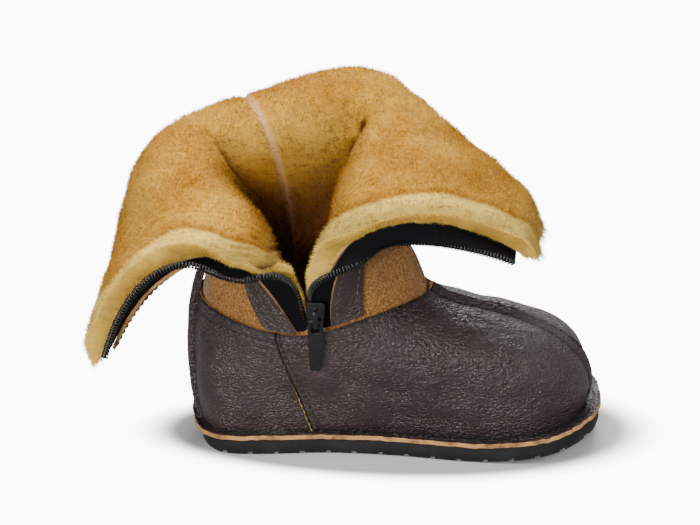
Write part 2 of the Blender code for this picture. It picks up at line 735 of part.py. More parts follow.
def rounded_box(low, high, corner, steps=4):
    """Outline of a rectangle with round corners, in X and Z."""
    points = []
    for k, (sx, sz) in enumerate(((1, 1), (-1, 1), (-1, -1), (1, -1))):
        cx = (low[0] + high[0]) / 2 + sx * ((high[0] - low[0]) / 2 - corner)
        cz = (low[1] + high[1]) / 2 + sz * ((high[1] - low[1]) / 2 - corner)
        for step in range(steps + 1):
            angle = math.pi / 2 * (k + step / steps)
            points.append((cx + corner * math.cos(angle), cz + corner * math.sin(angle)))
    return points


def make_zip_slider():
    """Slider body with the loop that holds the pull tab, as one solid."""
    x, y, z = slider_frame()
    taper = []
    for px, pz in rounded_box((-0.5, 0.0), (0.5, 1.0), 0.2):
        taper.append((x + px * SLIDER_WIDTH * (0.70 + 0.30 * pz), z + pz * SLIDER_LENGTH))
    body = block("zip_slider", taper, y, y - SLIDER_PLATE, (0.03, 0.03, 0.03), 0.35)
    middle = z + SLIDER_LENGTH * LOOP_SHARE
    half, out = LOOP_SPAN / 2, LOOP_METAL
    front = y - SLIDER_PLATE
    reach = front - loop_room() - LOOP_METAL
    path = [(front + 0.0003, -half), (reach + 0.0008, -half), (reach, -half + 0.0008)]
    path += [(reach, half - 0.0008), (reach + 0.0008, half), (front + 0.0003, half)]
    inner = [(front + 0.0003, -half + out), (reach + 0.0008, -half + out), (reach + out, -half + 0.0012)]
    inner += [(reach + out, half - 0.0012), (reach + 0.0008, half - out), (front + 0.0003, half - out)]
    sections = []
    for side in (-1, 1):
        ring = [(x + side * LOOP_WIDTH / 2, py, middle + pz) for py, pz in path + inner[::-1]]
        sections.append(np.array(ring))
    loop = add_object("slider_loop", *loft(sections, closed=False), (0.03, 0.03, 0.03), 0.35)
    join = body.modifiers.new("loop", "BOOLEAN")
    join.operation = "UNION"
    join.solver = "EXACT"
    join.object = loop
    loop.hide_render = True
    loop.display_type = "WIRE"
    return body


def make_zip_pull():
    """Pull tab, hanging from the slider's loop. Its origin is on the bar that it turns about."""
    x, y, z = slider_frame()
    pivot = pull_pivot()
    top = PULL_THICKNESS / 2
    shape = []
    for px, pz in rounded_box((-0.5, -1.0), (0.5, 0.0), 0.16):
        width = PULL_WIDTH * (1.0 - 0.28 * max(0.0, -pz - 0.35) / 0.65)
        shape.append((px * width, top + pz * PULL_LENGTH))
    window = rounded_box((-0.5, 0.0), (0.5, 1.0), 0.12, steps=2)
    half = PULL_WIDTH / 2 - PULL_ARM
    low = -PULL_WINDOW
    hole = [(px * 2 * half, low + pz * (-top - low)) for px, pz in window]
    thick = PULL_THICKNESS / 2
    pull = block("zip_pull", shape, -thick, thick, (0.03, 0.03, 0.03), 0.3, holes=(hole,))
    pull.location = pivot
    return pull


def loop_room():
    """Room inside the slider's loop, in which the pull tab's square bar can turn."""
    return PULL_THICKNESS * math.sqrt(2) + 2 * TURN_GAP


def pull_pivot():
    """Middle of the pull tab's bar, inside the slider's loop."""
    x, y, z = slider_frame()
    inside = y - SLIDER_PLATE - loop_room() / 2
    return (x, inside, z + SLIDER_LENGTH * LOOP_SHARE + PIVOT_RISE)


def clear_scene():
    for old in list(bpy.data.objects):
        bpy.data.objects.remove(old)


def build():
    clear_scene()
    make_outsole()
    make_upper()
    make_insole()
    make_backstay()
    for side in ("back", "front"):
        make_shaft(side)
        make_placket(side)
        make_zip_tape(side)
        make_zip_coil(side)
    make_zip_slider()
    make_zip_pull()


build()
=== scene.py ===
"""The looks of a toddler's left mukluk boot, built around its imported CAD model.

The sizes, tables and shape functions are the part's own, so each piece follows the solid that it
stands for. +X runs to the toe, +Y to the outer side and +Z up. All lengths are in metres.
"""
import math

import bpy
import numpy as np
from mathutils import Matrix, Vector
from mathutils.bvhtree import BVHTree


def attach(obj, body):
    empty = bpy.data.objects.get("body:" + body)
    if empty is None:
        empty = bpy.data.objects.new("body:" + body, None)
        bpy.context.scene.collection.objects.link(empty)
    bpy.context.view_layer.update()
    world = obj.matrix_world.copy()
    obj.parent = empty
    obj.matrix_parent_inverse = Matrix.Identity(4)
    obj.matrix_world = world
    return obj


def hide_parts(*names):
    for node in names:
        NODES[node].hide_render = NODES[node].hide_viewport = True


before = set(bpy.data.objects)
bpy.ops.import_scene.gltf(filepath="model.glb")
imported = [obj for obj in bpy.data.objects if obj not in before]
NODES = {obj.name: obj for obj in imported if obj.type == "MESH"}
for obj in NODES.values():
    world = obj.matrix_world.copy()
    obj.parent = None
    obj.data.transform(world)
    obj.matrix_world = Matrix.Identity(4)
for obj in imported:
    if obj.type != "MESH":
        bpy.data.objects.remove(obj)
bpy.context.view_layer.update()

CAMERA_TARGET = Vector((0.0315, 0.0, 0.0661))
CAMERA_HEIGHT_ANGLE = math.radians(22)
CAMERA_DISTANCE = 0.75
CAMERA_LENS = 107.1

# The foot
SOLE_LENGTH = 0.150
BALL_WIDTH = 0.063
HEEL_CENTRE = 0.026
TOE_SPRING = 0.0075
HEEL_CURL = 0.0024
HEEL_DROOP = 0.0024
INSTEP_HEIGHT = 0.0571
COLLAR_SETBACK = 0.0025
COLLAR_LENGTH = 0.0843
COLLAR_WIDTH = 0.0545

# Where the heel's curl ends, the toe starts to rise and the side seams lie, as shares of the length
HEEL_END = 0.09
TOE_RISES_AT = 0.64
SIDE_SEAM_AT = 0.305

# Outsole
SOLE_THICKNESS = 0.0046
TREAD_DEPTH = 0.0013
TREAD_PITCH = 0.0094
TREAD_GAP = 0.0021
SOLE_BEVEL = 0.0009
SOLE_INSET = 0.0006
HEEL_INSET = 0.0022

# Leather of the foot, and its seams
LEATHER = 0.0016
FLANGE = 0.0030
FLANGE_AT_TOE = 0.0058
LAP = 0.0008
LAP_WIDTH = 0.0009

# Half the side seams' lap, how far ahead of the seams their stitches lie, as shares of the way
# round, and how high the rows under the collar lie, as a share of the way up
LAP_HALF = LAP_WIDTH / SOLE_LENGTH / 6
SEAM_STITCHES = 0.0052
TOP_STITCHES = 0.905
STITCH_PITCH = 0.0025
STITCH_LENGTH = 0.0019
STITCH_WIDTH = 0.00062

# Shearling shaft
SHAFT_LENGTH = 0.105
PILE = 0.0115
PILE_IN_FOOT = 0.0041
PILE_GROWS_OVER = 0.028
PILE_SMOOTHING = 0.30
END_LIP = 0.0075
END_SPLAY = 0.0040
ZIP_LIP = 0.0035
ZIP_SPLAY = 0.0012
TUCK = 0.0070
ZIP_AT = 0.0455
ZIP_GAP = 0.0076

# Trims
STRIP = 0.0012
PLACKET_WIDTH = 0.0135
PLACKET_SETBACK = 0.0020
HEEL_STRIP_WIDTH = 0.0125
HEEL_STRIP_ABOVE = 0.0135
TAPE = 0.0006
TAPE_SHOWN = 0.0062
TAPE_LAP = 0.0035
COIL = 0.0021
TOOTH_PITCH = 0.00112
TOOTH_WIDTH = 0.0017
SEAT_GAP = 0.0003
TAPE_AT_SLIDER = 0.0008
COLLAR_LIFT = 0.0012

# The far seam, as a share of the way round the shaft, and the way up
FAR_SEAM = 0.465
UP = np.array((0.0, 0.0, 1.0))

# Half the step over which a surface's direction is measured, as a share
NUDGE = 1e-3

# The sole's outline. Shares of the sole's length, then shares of the ball's width.
OUTLINE = {
    "along": (0.00, 0.17, 0.34, 0.50, 0.64, 0.75, 0.88, 1.00),
    "centre": (0.000, 0.000, 0.022, 0.034, 0.030, 0.015, 0.005, 0.030),
    "half": (0.365, 0.365, 0.370, 0.420, 0.480, 0.500, 0.500, 0.480),
}
HEEL_ROUND, TOE_ROUND = (0.15, 2.7), (0.74, 2.7)

# The wall of the foot: a Bezier curve up each column, from the flange to the collar. rise and drop
# are shares of its height, reach of its plan length, and bulge and swell of the ball's width.
WALL = {
    "along": (0.00, 0.10, 0.28, 0.50, 0.72, 0.88, 1.00),
    "rise": (0.38, 0.38, 0.38, 0.42, 0.60, 0.80, 0.88),
    "bulge": (0.050, 0.055, 0.065, 0.065, 0.075, 0.080, 0.080),
    "reach": (0.00, 0.00, 0.00, 0.20, 0.34, 0.33, 0.315),
    "drop": (0.34, 0.34, 0.34, 0.33, 0.38, 0.38, 0.35),
    "swell": (0.050, 0.040, 0.030, 0.020, 0.015, 0.00, 0.00),
}

# The collar's edge, from the heel to the throat. height is a share of the instep's height.
COLLAR = {
    "along": (0.00, 0.12, 0.30, 0.42, 0.55, 0.68, 0.85, 1.00),
    "height": (0.99, 0.94, 0.875, 0.863, 0.89, 0.938, 0.985, 1.00),
}

# How blunt the collar is in plan at its back and at its front; 2 is an ellipse.
COLLAR_ROUND = (2.3, 1.80)

# How far each zip tape turns down from the suede's own surface along its length, in degrees.
DROOP = {
    "along": (0.00, 0.10, 0.32, 0.65, 1.00),
    "back": (0.0, 0.0, -4.0, 1.0, 8.0),
    "front": (0.0, 0.0, 55.0, 45.0, -5.0),
}

# The turned-out shaft, from the zip's heel side round the heel and the outer side to its toe side.
# Each column is one line up the suede: how it leans as it leaves the collar, where it crests and
# where it ends, from the heel's centre on the floor in shares of the shaft's length.
FOLDS = {
    "around": (0, 0.055, 0.11, 0.24, 0.36, 0.5, 0.62, 0.755, 0.88, 1),
    "lean_x": (-0.55, -0.3, -0.1, 0.12, 0.08, -0.05, -0.45, -0.15, -0.85, -0.18),
    "lean_y": (-0.05, 0.1, 0.1, 0.02, 0.1, 0.15, 0.1, 0, 0.06, -0.05),
    "lean_z": (0.95, 1, 1, 1, 1, 1, 1, 1, 1, 1),
    "crest_x": (-0.162, -0.1, -0.067, -0.236, -0.262, 0.076, 0.367, 0.386, 0.381, 0.457),
    "crest_y": (-0.295, -0.262, -0.195, 0.057, 0.257, 0.362, 0.324, 0.114, -0.152, -0.286),
    "crest_z": (0.77, 0.784, 0.822, 0.891, 0.965, 1.046, 1.15, 0.982, 0.927, 0.889),
    "end_x": (-0.514, -0.5, -0.495, -0.422, -0.343, 0.019, 0.429, 0.81, 0.876, 0.857),
    "end_y": (-0.314, -0.257, -0.181, 0.067, 0.362, 0.571, 0.543, 0.152, -0.114, -0.314),
    "end_z": (0.431, 0.441, 0.47, 0.531, 0.608, 0.722, 0.808, 0.779, 0.827, 0.789),
}


def unit(vectors):
    return vectors / np.maximum(np.linalg.norm(vectors, axis=-1, keepdims=True), 1e-12)


def ramp(value, start, end):
    """0 at the start, 1 at the end and straight between them; the end may be the lower one."""
    return np.clip((value - start) / (end - start), 0, 1)


def fade(value, over):
    """1 at zero, falling straight to 0."""
    return np.clip(1 - value / over, 0, 1)


def bell(distance, width):
    """1 at no distance, fading softly beyond the width."""
    return np.exp(-((distance / width) ** 2))


def distances(grid):
    """Distance along a grid from its first row to each row."""
    steps = np.linalg.norm(np.diff(grid, axis=0), axis=-1)
    return np.concatenate([np.zeros((1, grid.shape[1])), np.cumsum(steps, 0)])


def read_along(values, places, at):
    """Rows of values that belong to rising places, read at other places."""
    return np.stack([np.interp(at, places, values[:, k]) for k in range(values.shape[1])], -1)


def hermite(start, end, leave, arrive, t):
    """A curve from start to end that leaves and arrives at two given slopes."""
    leaving, arriving = (1 - t) ** 2, t * t
    points = start * (1 + 2 * t) * leaving + end * arriving * (3 - 2 * t)
    return points + leave * t * leaving - arrive * arriving * (1 - t)


def smooth(table, column, at, key="along"):
    """A smooth curve through one column of a table, read at the places at of its key column."""
    x, y = np.array(table[key], float), np.array(table[column], float)
    slope = np.gradient(y, x)
    at = np.clip(np.asarray(at, float), x[0], x[-1])
    i = np.clip(np.searchsorted(x, at, side="right") - 1, 0, len(x) - 2)
    step = x[i + 1] - x[i]
    t = (at - x[i]) / step
    return hermite(y[i], y[i + 1], slope[i] * step, slope[i + 1] * step, t)


def rounding(share):
    """How much of the full width is left near the ends of the sole."""
    heel, power = HEEL_ROUND
    toe, toe_power = TOE_ROUND
    behind, ahead = fade(share, heel), ramp(share, toe, 1)
    return (1 - behind**power) ** (1 / power) * (1 - ahead**toe_power) ** (1 / toe_power)


def lengthwise(turn):
    """Share of the length at a share of the way round, which starts at the heel, inner side first."""
    return (1 - np.cos(2 * math.pi * np.asarray(turn, float))) / 2


def side_of(turn):
    return np.where(np.asarray(turn) % 1 <= 0.5, -1.0, 1.0)


def outline(turn, grow=0.0):
    """Plan points on the sole's edge, moved outwards by grow."""
    turn = np.asarray(turn, float)

    def edge(at):
        share = lengthwise(at)
        half = smooth(OUTLINE, "half", share) * rounding(share)
        centre = smooth(OUTLINE, "centre", share)
        x = share * SOLE_LENGTH - HEEL_CENTRE
        return np.stack([x, BALL_WIDTH * (centre + side_of(at) * half)], -1)

    run = edge(turn + NUDGE) - edge(turn - NUDGE)
    out = unit(np.stack([run[..., 1], -run[..., 0]], -1))
    return edge(turn) + out * np.asarray(grow)[..., None], out


def sole_share(x):
    return (np.asarray(x, float) + HEEL_CENTRE) / SOLE_LENGTH


def heel_end(share):
    """How far a place is into the sole's curled heel end, and 0 ahead of it."""
    return np.clip(1 - share / HEEL_END, 0, None) ** 2


def turn_at(share):
    """Way round, on the inner side, for a share of the length."""
    return math.acos(1 - 2 * share) / (2 * math.pi)


def lift(x):
    """Height of the tread's plane over the floor, which rises under the toe and the heel's end."""
    share = sole_share(x)
    toe = np.clip((share - TOE_RISES_AT) / (1 - TOE_RISES_AT), 0, None)
    return TOE_SPRING * toe**1.9 + HEEL_CURL * heel_end(share)


def sole_top(x):
    return lift(x) + TREAD_DEPTH + SOLE_THICKNESS - HEEL_DROOP * heel_end(sole_share(x))


def with_height(plan, height):
    return np.concatenate([plan, np.asarray(height)[..., None]], -1)


def flange_width(turn):
    share = lengthwise(turn)
    return FLANGE + (FLANGE_AT_TOE - FLANGE) * ramp(share, 0.72, 1) ** 1.5


def collar(turn):
    """The collar's edge on the leather's outer face."""
    share = lengthwise(turn)
    span = np.abs(2 * share - 1)
    power = np.where(share < 0.5, *COLLAR_ROUND)
    half = COLLAR_WIDTH / 2 * (1 - span**power) ** (1 / power)
    x = share * COLLAR_LENGTH + COLLAR_SETBACK - HEEL_CENTRE
    height = INSTEP_HEIGHT * smooth(COLLAR, "height", share)
    return np.stack([x, side_of(turn) * half, height], -1)


def wall(turn, up):
    """Points on the outer face of the leather foot, for columns turn and shares up of the height."""
    turn, up = np.broadcast_arrays(np.asarray(turn, float), np.asarray(up, float))
    share = lengthwise(turn)
    plan, out = outline(turn, -flange_width(turn))
    foot = with_height(plan, sole_top(plan[..., 0]) + SEAT_GAP + LEATHER)
    top = collar(turn)
    away = with_height(out, np.zeros(turn.shape))
    height = (top - foot)[..., 2:]

    def read(column):
        return smooth(WALL, column, share)[..., None]

    low = foot + UP * height * read("rise") + away * BALL_WIDTH * read("bulge")
    inwards = (foot - top) * (1, 1, 0)
    high = top + inwards * read("reach") - UP * height * read("drop")
    high = high + away * BALL_WIDTH * read("swell")
    t = up[..., None]
    return (
        foot * (1 - t) ** 3
        + 3 * low * t * (1 - t) ** 2
        + 3 * high * t * t * (1 - t)
        + top * t**3
    )


def wall_normal(turn, up):
    """Unit vectors out of the leather."""
    low, high = np.clip(up - NUDGE, 0, 1), np.clip(up + NUDGE, 0, 1)
    along = wall(turn + NUDGE, up) - wall(turn - NUDGE, up)
    rising = wall(turn, high) - wall(turn, low)
    return unit(np.cross(along, rising))


def tread_stations():
    """Stations along the sole with the depth of tread that each has, stepping at each groove.

    A block is centred under the heel's centre, where the boot rests.
    """
    slope = 0.0003
    found = [(0.0008, 1.0), (0.0030, 1.0), (0.0065, 1.0)]
    start = (HEEL_CENTRE - (TREAD_PITCH + TREAD_GAP) / 2) % TREAD_PITCH + TREAD_PITCH
    while start < SOLE_LENGTH - TREAD_PITCH * 0.45:
        found += [(start, 1.0), (start + slope, 0.0)]
        found += [(start + TREAD_GAP - slope, 0.0), (start + TREAD_GAP, 1.0)]
        start += TREAD_PITCH
    found += [(SOLE_LENGTH - 0.0025, 1.0), (SOLE_LENGTH - 0.0008, 1.0)]
    return found


def seam_turn():
    """Where the vamp laps over the heel quarter, as a share of the way round."""
    return turn_at(SIDE_SEAM_AT)


def seam_line(x):
    share = sole_share(x)
    return BALL_WIDTH * smooth(OUTLINE, "centre", share) * np.clip(share * 3 - 1.9, 0, 1)


def zip_turn(x):
    """Way round at which the collar's inner side passes over x."""
    return turn_at((x + HEEL_CENTRE - COLLAR_SETBACK) / COLLAR_LENGTH)


def shaft_turn(around):
    """Way round for a share of the way from the zip's heel side, past the heel, to its toe side."""
    back = zip_turn(ZIP_AT - HEEL_CENTRE - ZIP_GAP / 2)
    front = zip_turn(ZIP_AT - HEEL_CENTRE + ZIP_GAP / 2)
    return (back - np.asarray(around, float) * (1 - front + back)) % 1


def shaft_foot(around):
    """Where the suede passes up through the collar, just inside its edge."""
    turn = shaft_turn(around)
    edge = collar(turn)
    run = collar(turn + NUDGE) - collar(turn - NUDGE)
    out = unit(np.stack([run[..., 1], -run[..., 0], np.zeros_like(turn)], -1))
    leaning = wall_normal(turn, np.full(turn.shape, 1.0))
    inset = LEATHER * np.linalg.norm(leaning[..., :2], axis=-1) + SEAT_GAP
    return edge - out * inset[..., None]


def fold_line(around, run):
    """Points on the suede for shares run of each line's length, with a row for each of around."""
    around, run = np.asarray(around, float), np.asarray(run)

    def read(kind):
        columns = [smooth(FOLDS, f"{kind}_{axis}", around, "around") for axis in "xyz"]
        return np.stack(columns, -1)

    foot, crest, end = shaft_foot(around), SHAFT_LENGTH * read("crest"), SHAFT_LENGTH * read("end")
    first = np.linalg.norm(crest - foot, axis=-1, keepdims=True)
    second = np.linalg.norm(end - crest, axis=-1, keepdims=True)
    over = end - foot
    over[:, 2] *= 0.35
    over = unit(over)
    leaving = unit(read("lean")) * 1.25
    ending = (end - crest) / second * 1.5 - over * 0.7
    knots = np.linspace(0, 1, 41)[None, :, None]
    rise = foot, crest, leaving * first, over * first * 1.1
    fall = crest, end, over * second * 1.1, ending * second
    rise, fall = (hermite(*(values[:, None] for values in half), knots) for half in (rise, fall))
    line = np.concatenate([rise, fall[:, 1:]], 1)
    length = distances(line.swapaxes(0, 1)).T
    return np.array([read_along(points, at, run * at[-1]) for points, at in zip(line, length)])


def shaft_columns():
    """Shares of the way round, closer together at the two zip edges."""
    even = np.linspace(0, 1, 41)
    return even - 0.55 * np.sin(2 * math.pi * even) / (2 * math.pi)


def shaft_rows():
    return np.linspace(0, 1, 21)


def normals_of(grid):
    """Unit vectors on the fleece side of a grid of points."""
    return unit(np.cross(np.gradient(grid, axis=0), np.gradient(grid, axis=1)))


def edge_pile(distance, lip, at_edge):
    """Share of the full pile at a distance from a cut edge, rounded over the lip."""
    inside = fade(distance, lip)
    return at_edge + (1 - at_edge) * np.sqrt(np.clip(1 - inside**2, 0, 1))


def grow_pile(suede, pile):
    """The fleece side, grown out of the suede in steps that are smoothed so that it can't cross."""
    fleece, steps = suede.copy(), 10
    for _ in range(steps):
        fleece = fleece + normals_of(fleece) * pile[..., None] / steps
        beside = (fleece[:-2, 1:-1] + fleece[2:, 1:-1] + fleece[1:-1, :-2] + fleece[1:-1, 2:]) / 4
        fleece[1:-1, 1:-1] += (beside - fleece[1:-1, 1:-1]) * PILE_SMOOTHING
    return fleece


def shaft_grids():
    """The suede side and the fleece side of the shaft, with the row tucked into the foot first."""
    around, run = shaft_columns(), shaft_rows()
    suede = fold_line(around, run)
    suede = np.concatenate([suede[:, :1] - UP * TUCK, suede], 1)
    out = normals_of(suede)
    place = distances(suede)
    from_back, from_front = place, place[-1] - place
    up_line = np.concatenate([[-TUCK], run * SHAFT_LENGTH])
    from_end = SHAFT_LENGTH - up_line
    grown = ramp(up_line, -TUCK, PILE_GROWS_OVER - TUCK)
    pile = PILE_IN_FOOT + (PILE - PILE_IN_FOOT) * grown[None, :]
    pile = pile * edge_pile(np.minimum(from_back, from_front), ZIP_LIP, 0.72)
    pile = pile * edge_pile(from_end, END_LIP, 0.40)[None, :]
    along = unit(np.gradient(suede, axis=1))
    across = np.cross(along, out)
    splay = along * END_SPLAY * fade(from_end, 2 * END_LIP)[None, :, None] ** 2
    back = fade(from_back, 2 * ZIP_LIP) ** 2
    front = fade(from_front, 2 * ZIP_LIP) ** 2
    splay = splay + across * ZIP_SPLAY * ((front - back) * grown[None, :])[..., None]
    return suede, grow_pile(suede, pile) + splay


def zip_edge(side, run):
    """Points along one zip edge of the suede, with unit vectors along it, outwards and to the pile."""
    around = np.array([0.0, 0.012]) if side == "back" else np.array([1.0, 0.988])
    lines = fold_line(around, run)
    ahead = fold_line(around, np.clip(run + 2 * NUDGE, 0, 1))
    behind = fold_line(around, np.clip(run - 2 * NUDGE, 0, 1))
    along = ahead[0] - behind[0]
    outwards = lines[0] - lines[1]
    turned = 1 if side == "back" else -1
    pile = np.cross(along, outwards) * turned
    along, pile = unit(along), unit(pile)
    return lines[0], along, np.cross(pile, along) * turned, pile


def tape_shown(run):
    """Width of tape that shows beyond the leather: narrow at the slider, where the zip meets."""
    grown = np.clip(run / 0.22, 0, 1)
    return TAPE_AT_SLIDER + (TAPE_SHOWN - TAPE_AT_SLIDER) * grown * grown * (3 - 2 * grown)


def tape_point(side, run, across, below):
    """Points on a zip tape: across from the suede's edge and below the suede, bending as it droops."""
    edge, _, outwards, pile = zip_edge(side, run)
    droop = np.radians(smooth(DROOP, side, run))[:, None]
    bend = np.cos(droop) * outwards - np.sin(droop) * pile
    turned = np.cos(droop) * pile + np.sin(droop) * outwards
    across = np.broadcast_to(across, run.shape)[:, None]
    mitre = (pile + turned) / (1 + np.cos(droop))
    return edge + across * bend - below * np.where(across > 0, turned, mitre)


def coil_line(side, run):
    """Middle of a row of teeth, beside the tape's edge, with the unit vectors off the tape."""
    beside = tape_shown(run) + SEAT_GAP + COIL / 2
    centre = tape_point(side, run, beside, SEAT_GAP + TAPE / 2)
    out = centre - tape_point(side, run, tape_shown(run), SEAT_GAP + TAPE / 2)
    return centre, unit(out)


def strip_along_edge(side, run, widths):
    """Points and normals on the suede at widths in from a zip edge, measured along the surface."""
    around = np.linspace(0, 0.30, 40) if side == "back" else np.linspace(1, 0.70, 40)
    grid = fold_line(around, run)
    normal = normals_of(grid if side == "back" else grid[::-1])
    normal = normal if side == "back" else normal[::-1]
    place = distances(grid)
    points, normals = (
        np.array([read_along(field[:, r], place[:, r], widths) for r in range(len(run))])
        for field in (grid, normal)
    )
    return points, unit(normals)


# Materials

class Value:
    """A number or colour that a finish works out at each point, used in plain sums."""

    def __init__(self, finish, socket):
        self.finish, self.socket = finish, socket

    def sum(self, operation, *inputs):
        return self.finish.make("ShaderNodeMath", {"operation": operation}, dict(enumerate(inputs)))

    def __add__(self, other):
        return self.sum("ADD", self, other)

    def __radd__(self, other):
        return self.sum("ADD", other, self)

    def __sub__(self, other):
        return self.sum("SUBTRACT", self, other)

    def __rsub__(self, other):
        return self.sum("SUBTRACT", other, self)

    def __mul__(self, other):
        return self.sum("MULTIPLY", self, other)

    def __rmul__(self, other):
        return self.sum("MULTIPLY", other, self)

    def __truediv__(self, other):
        return self.sum("DIVIDE", self, other)

    def step(self, low, high):
        """0 below low, 1 above high and a soft change between them."""
        return self.finish.make(
            "ShaderNodeMapRange",
            {"interpolation_type": "SMOOTHSTEP"},
            {"Value": self, "From Min": low, "From Max": high},
        )


class Finish:
    """One material, built from nodes."""

    def __init__(self, name, **constants):
        self.material = bpy.data.materials.new(name)
        self.material.use_nodes = True
        self.tree = self.material.node_tree
        self.shader = self.tree.nodes["Principled BSDF"]
        self.give(**constants)

    def put(self, socket, value):
        if isinstance(value, Value):
            self.tree.links.new(value.socket, socket)
        elif isinstance(value, tuple) and len(value) == 3 and socket.type == "RGBA":
            socket.default_value = (*value, 1.0)
        else:
            socket.default_value = value

    def make(self, kind, settings, inputs, output=0):
        node = self.tree.nodes.new(kind)
        for name, value in settings.items():
            setattr(node, name, value)
        for name, value in inputs.items():
            self.put(node.inputs[name], value)
        return Value(self, node.outputs[output])

    def give(self, **values):
        for name, value in values.items():
            self.put(self.shader.inputs[name.replace("_", " ")], value)

    def place(self, scale=(1.0, 1.0, 1.0)):
        """The point's own place on the object, stretched by scale."""
        where = self.make("ShaderNodeTexCoord", {}, {}, "Object")
        return self.vector("MULTIPLY", where, scale)

    def vector(self, operation, first, second, second_socket=1):
        inputs = {0: first, second_socket: second}
        return self.make("ShaderNodeVectorMath", {"operation": operation}, inputs)

    def shade(self, output):
        """The shade that each point of the mesh was given."""
        return self.make("ShaderNodeAttribute", {"attribute_name": "shade"}, {}, output)

    def axes(self):
        """The point's own x and y."""
        where = {"Vector": self.place()}
        return [self.make("ShaderNodeSeparateXYZ", {}, where, k) for k in (0, 1)]

    def noise(self, where, scale, detail=3.0, roughness=0.55, output="Fac"):
        inputs = {"Vector": where, "Scale": scale, "Detail": detail, "Roughness": roughness}
        return self.make("ShaderNodeTexNoise", {}, inputs, output)

    def cells(self, where, scale):
        return self.make("ShaderNodeTexVoronoi", {"feature": "F1"}, {"Vector": where, "Scale": scale})

    def warped(self, where, scale, amount):
        """The same place, pushed about by noise."""
        push = self.noise(where, scale, 2.0, 0.5, "Color")
        push = self.vector("SUBTRACT", push, (0.5, 0.5, 0.5))
        return self.vector("ADD", where, self.vector("SCALE", push, amount, "Scale"))

    def mix(self, first, second, share):
        return self.make("ShaderNodeMix", {"data_type": "RGBA"}, {0: share, 6: first, 7: second}, 2)

    def bump(self, height, distance):
        inputs = {"Height": height, "Distance": distance, "Strength": 1.0}
        self.give(Normal=self.make("ShaderNodeBump", {}, inputs))


def leather_finish():
    """Dark brown full-grain leather: crinkled, pebbled where it has worn, satin top coat, painted shade in
    seams.
    """
    finish = Finish("dark_leather", Specular_IOR_Level=0.46)
    patch = finish.noise(finish.place(), 55.0, 2.0)
    ahead = finish.axes()[0].step(0.010, 0.055)
    worn = patch.step(0.36, 0.58)
    grain = finish.warped(finish.place((0.8, 1.0, 1.15)), 300.0, 0.0012)
    crinkle = finish.noise(grain, 950.0, 2.0, 0.6)
    height = crinkle * 1.35 - finish.cells(grain, 1050.0) * worn
    colour = finish.mix((0.0280, 0.0160, 0.0145), (0.0740, 0.0480, 0.0440), patch.step(0.30, 0.72) * 0.6)
    colour = finish.mix(colour, (0.0200, 0.0110, 0.0100), ahead * 0.62)
    # Painted shade: each point's shade darkens the leather in seams, grooves and corners, and makes it
    # rougher.
    shade = finish.shade("Fac")
    finish.give(Base_Color=finish.mix(colour, (0.0040, 0.0022, 0.0020), shade))
    finish.give(Roughness=0.36 - worn * 0.10 + shade * 0.30)
    finish.bump(height, 0.00056)
    return finish.material


def raw_edge_finish():
    """Cut edge of tan leather, fibrous and darkened in places."""
    finish = Finish("raw_leather_edge", Roughness=0.85)
    where = finish.place()
    fibres = finish.noise(finish.place((0.5, 0.5, 2.2)), 900.0, 4.0, 0.65)
    stain = finish.noise(where, 150.0, 3.0).step(0.42, 0.68)
    colour = finish.mix((0.50, 0.255, 0.080), (0.20, 0.088, 0.030), stain)
    finish.give(Base_Color=finish.mix(colour, (0.68, 0.42, 0.17), fibres.step(0.5, 0.8)))
    finish.bump(fibres, 0.0002)
    return finish.material


def suede_finish():
    """Tan suede with a short nap that catches the light unevenly."""
    finish = Finish("tan_suede", Roughness=0.95, Specular_IOR_Level=0.15, Sheen_Weight=0.25)
    where = finish.place()
    nap = finish.noise(where, 1250.0, 2.0, 0.7).step(0.30, 0.70)
    speck = finish.noise(finish.warped(where, 700.0, 0.0006), 1700.0, 1.0, 0.6)
    brushed = finish.noise(where, 60.0, 3.0)
    colour = finish.mix((0.13, 0.050, 0.010), (0.44, 0.205, 0.050), nap * 0.8 + brushed * 0.3 - 0.1)
    colour = finish.mix(colour, (0.62, 0.36, 0.13), speck.step(0.52, 0.72) * 0.7)
    finish.give(Base_Color=colour)
    finish.bump(nap * 0.6 + speck, 0.00022)
    return finish.material


def rubber_finish():
    finish = Finish("black_rubber", Specular_IOR_Level=0.35)
    where = finish.place()
    moulded = finish.noise(where, 900.0, 3.0, 0.6)
    dusty = finish.noise(where, 90.0, 3.0).step(0.45, 0.75)
    finish.give(Base_Color=finish.mix((0.0050, 0.0050, 0.0055), (0.015, 0.0145, 0.0145), dusty))
    finish.give(Roughness=0.58 + moulded * 0.2)
    finish.bump(moulded, 0.00010)
    return finish.material


def tape_finish():
    """Woven zip tape: fine herringbone rows in black."""
    finish = Finish("zip_tape", Roughness=0.80, Specular_IOR_Level=0.06)
    thread = finish.noise(finish.place((1.0, 1.0, 0.35)), 3200.0, 2.0, 0.6)
    weft = finish.noise(finish.place((0.3, 1.0, 1.0)), 2600.0, 2.0, 0.6)
    finish.give(Base_Color=finish.mix((0.0025, 0.0025, 0.003), (0.009, 0.009, 0.011), thread * weft * 2.2))
    finish.bump(thread + weft, 0.00012)
    return finish.material


def plastic_finish(name, colour, roughness):
    finish = Finish(name, Specular_IOR_Level=0.5)
    where = finish.place()
    worn = finish.noise(where, 300.0, 3.0)
    shade = tuple(c * 1.8 for c in colour)
    finish.give(Base_Color=finish.mix(colour, shade, worn.step(0.45, 0.8)))
    finish.give(Roughness=roughness + worn * 0.12)
    finish.bump(finish.noise(where, 1400.0, 2.0), 0.00002)
    return finish.material


def thread_finish(name, colour):
    finish = Finish(name, Roughness=0.34, Specular_IOR_Level=0.6)
    where = finish.place()
    strands = finish.noise(where, 4200.0, 2.0)
    finish.give(Base_Color=finish.mix(colour, tuple(c * 1.7 for c in colour), strands.step(0.35, 0.7)))
    finish.bump(strands, 0.00006)
    return finish.material


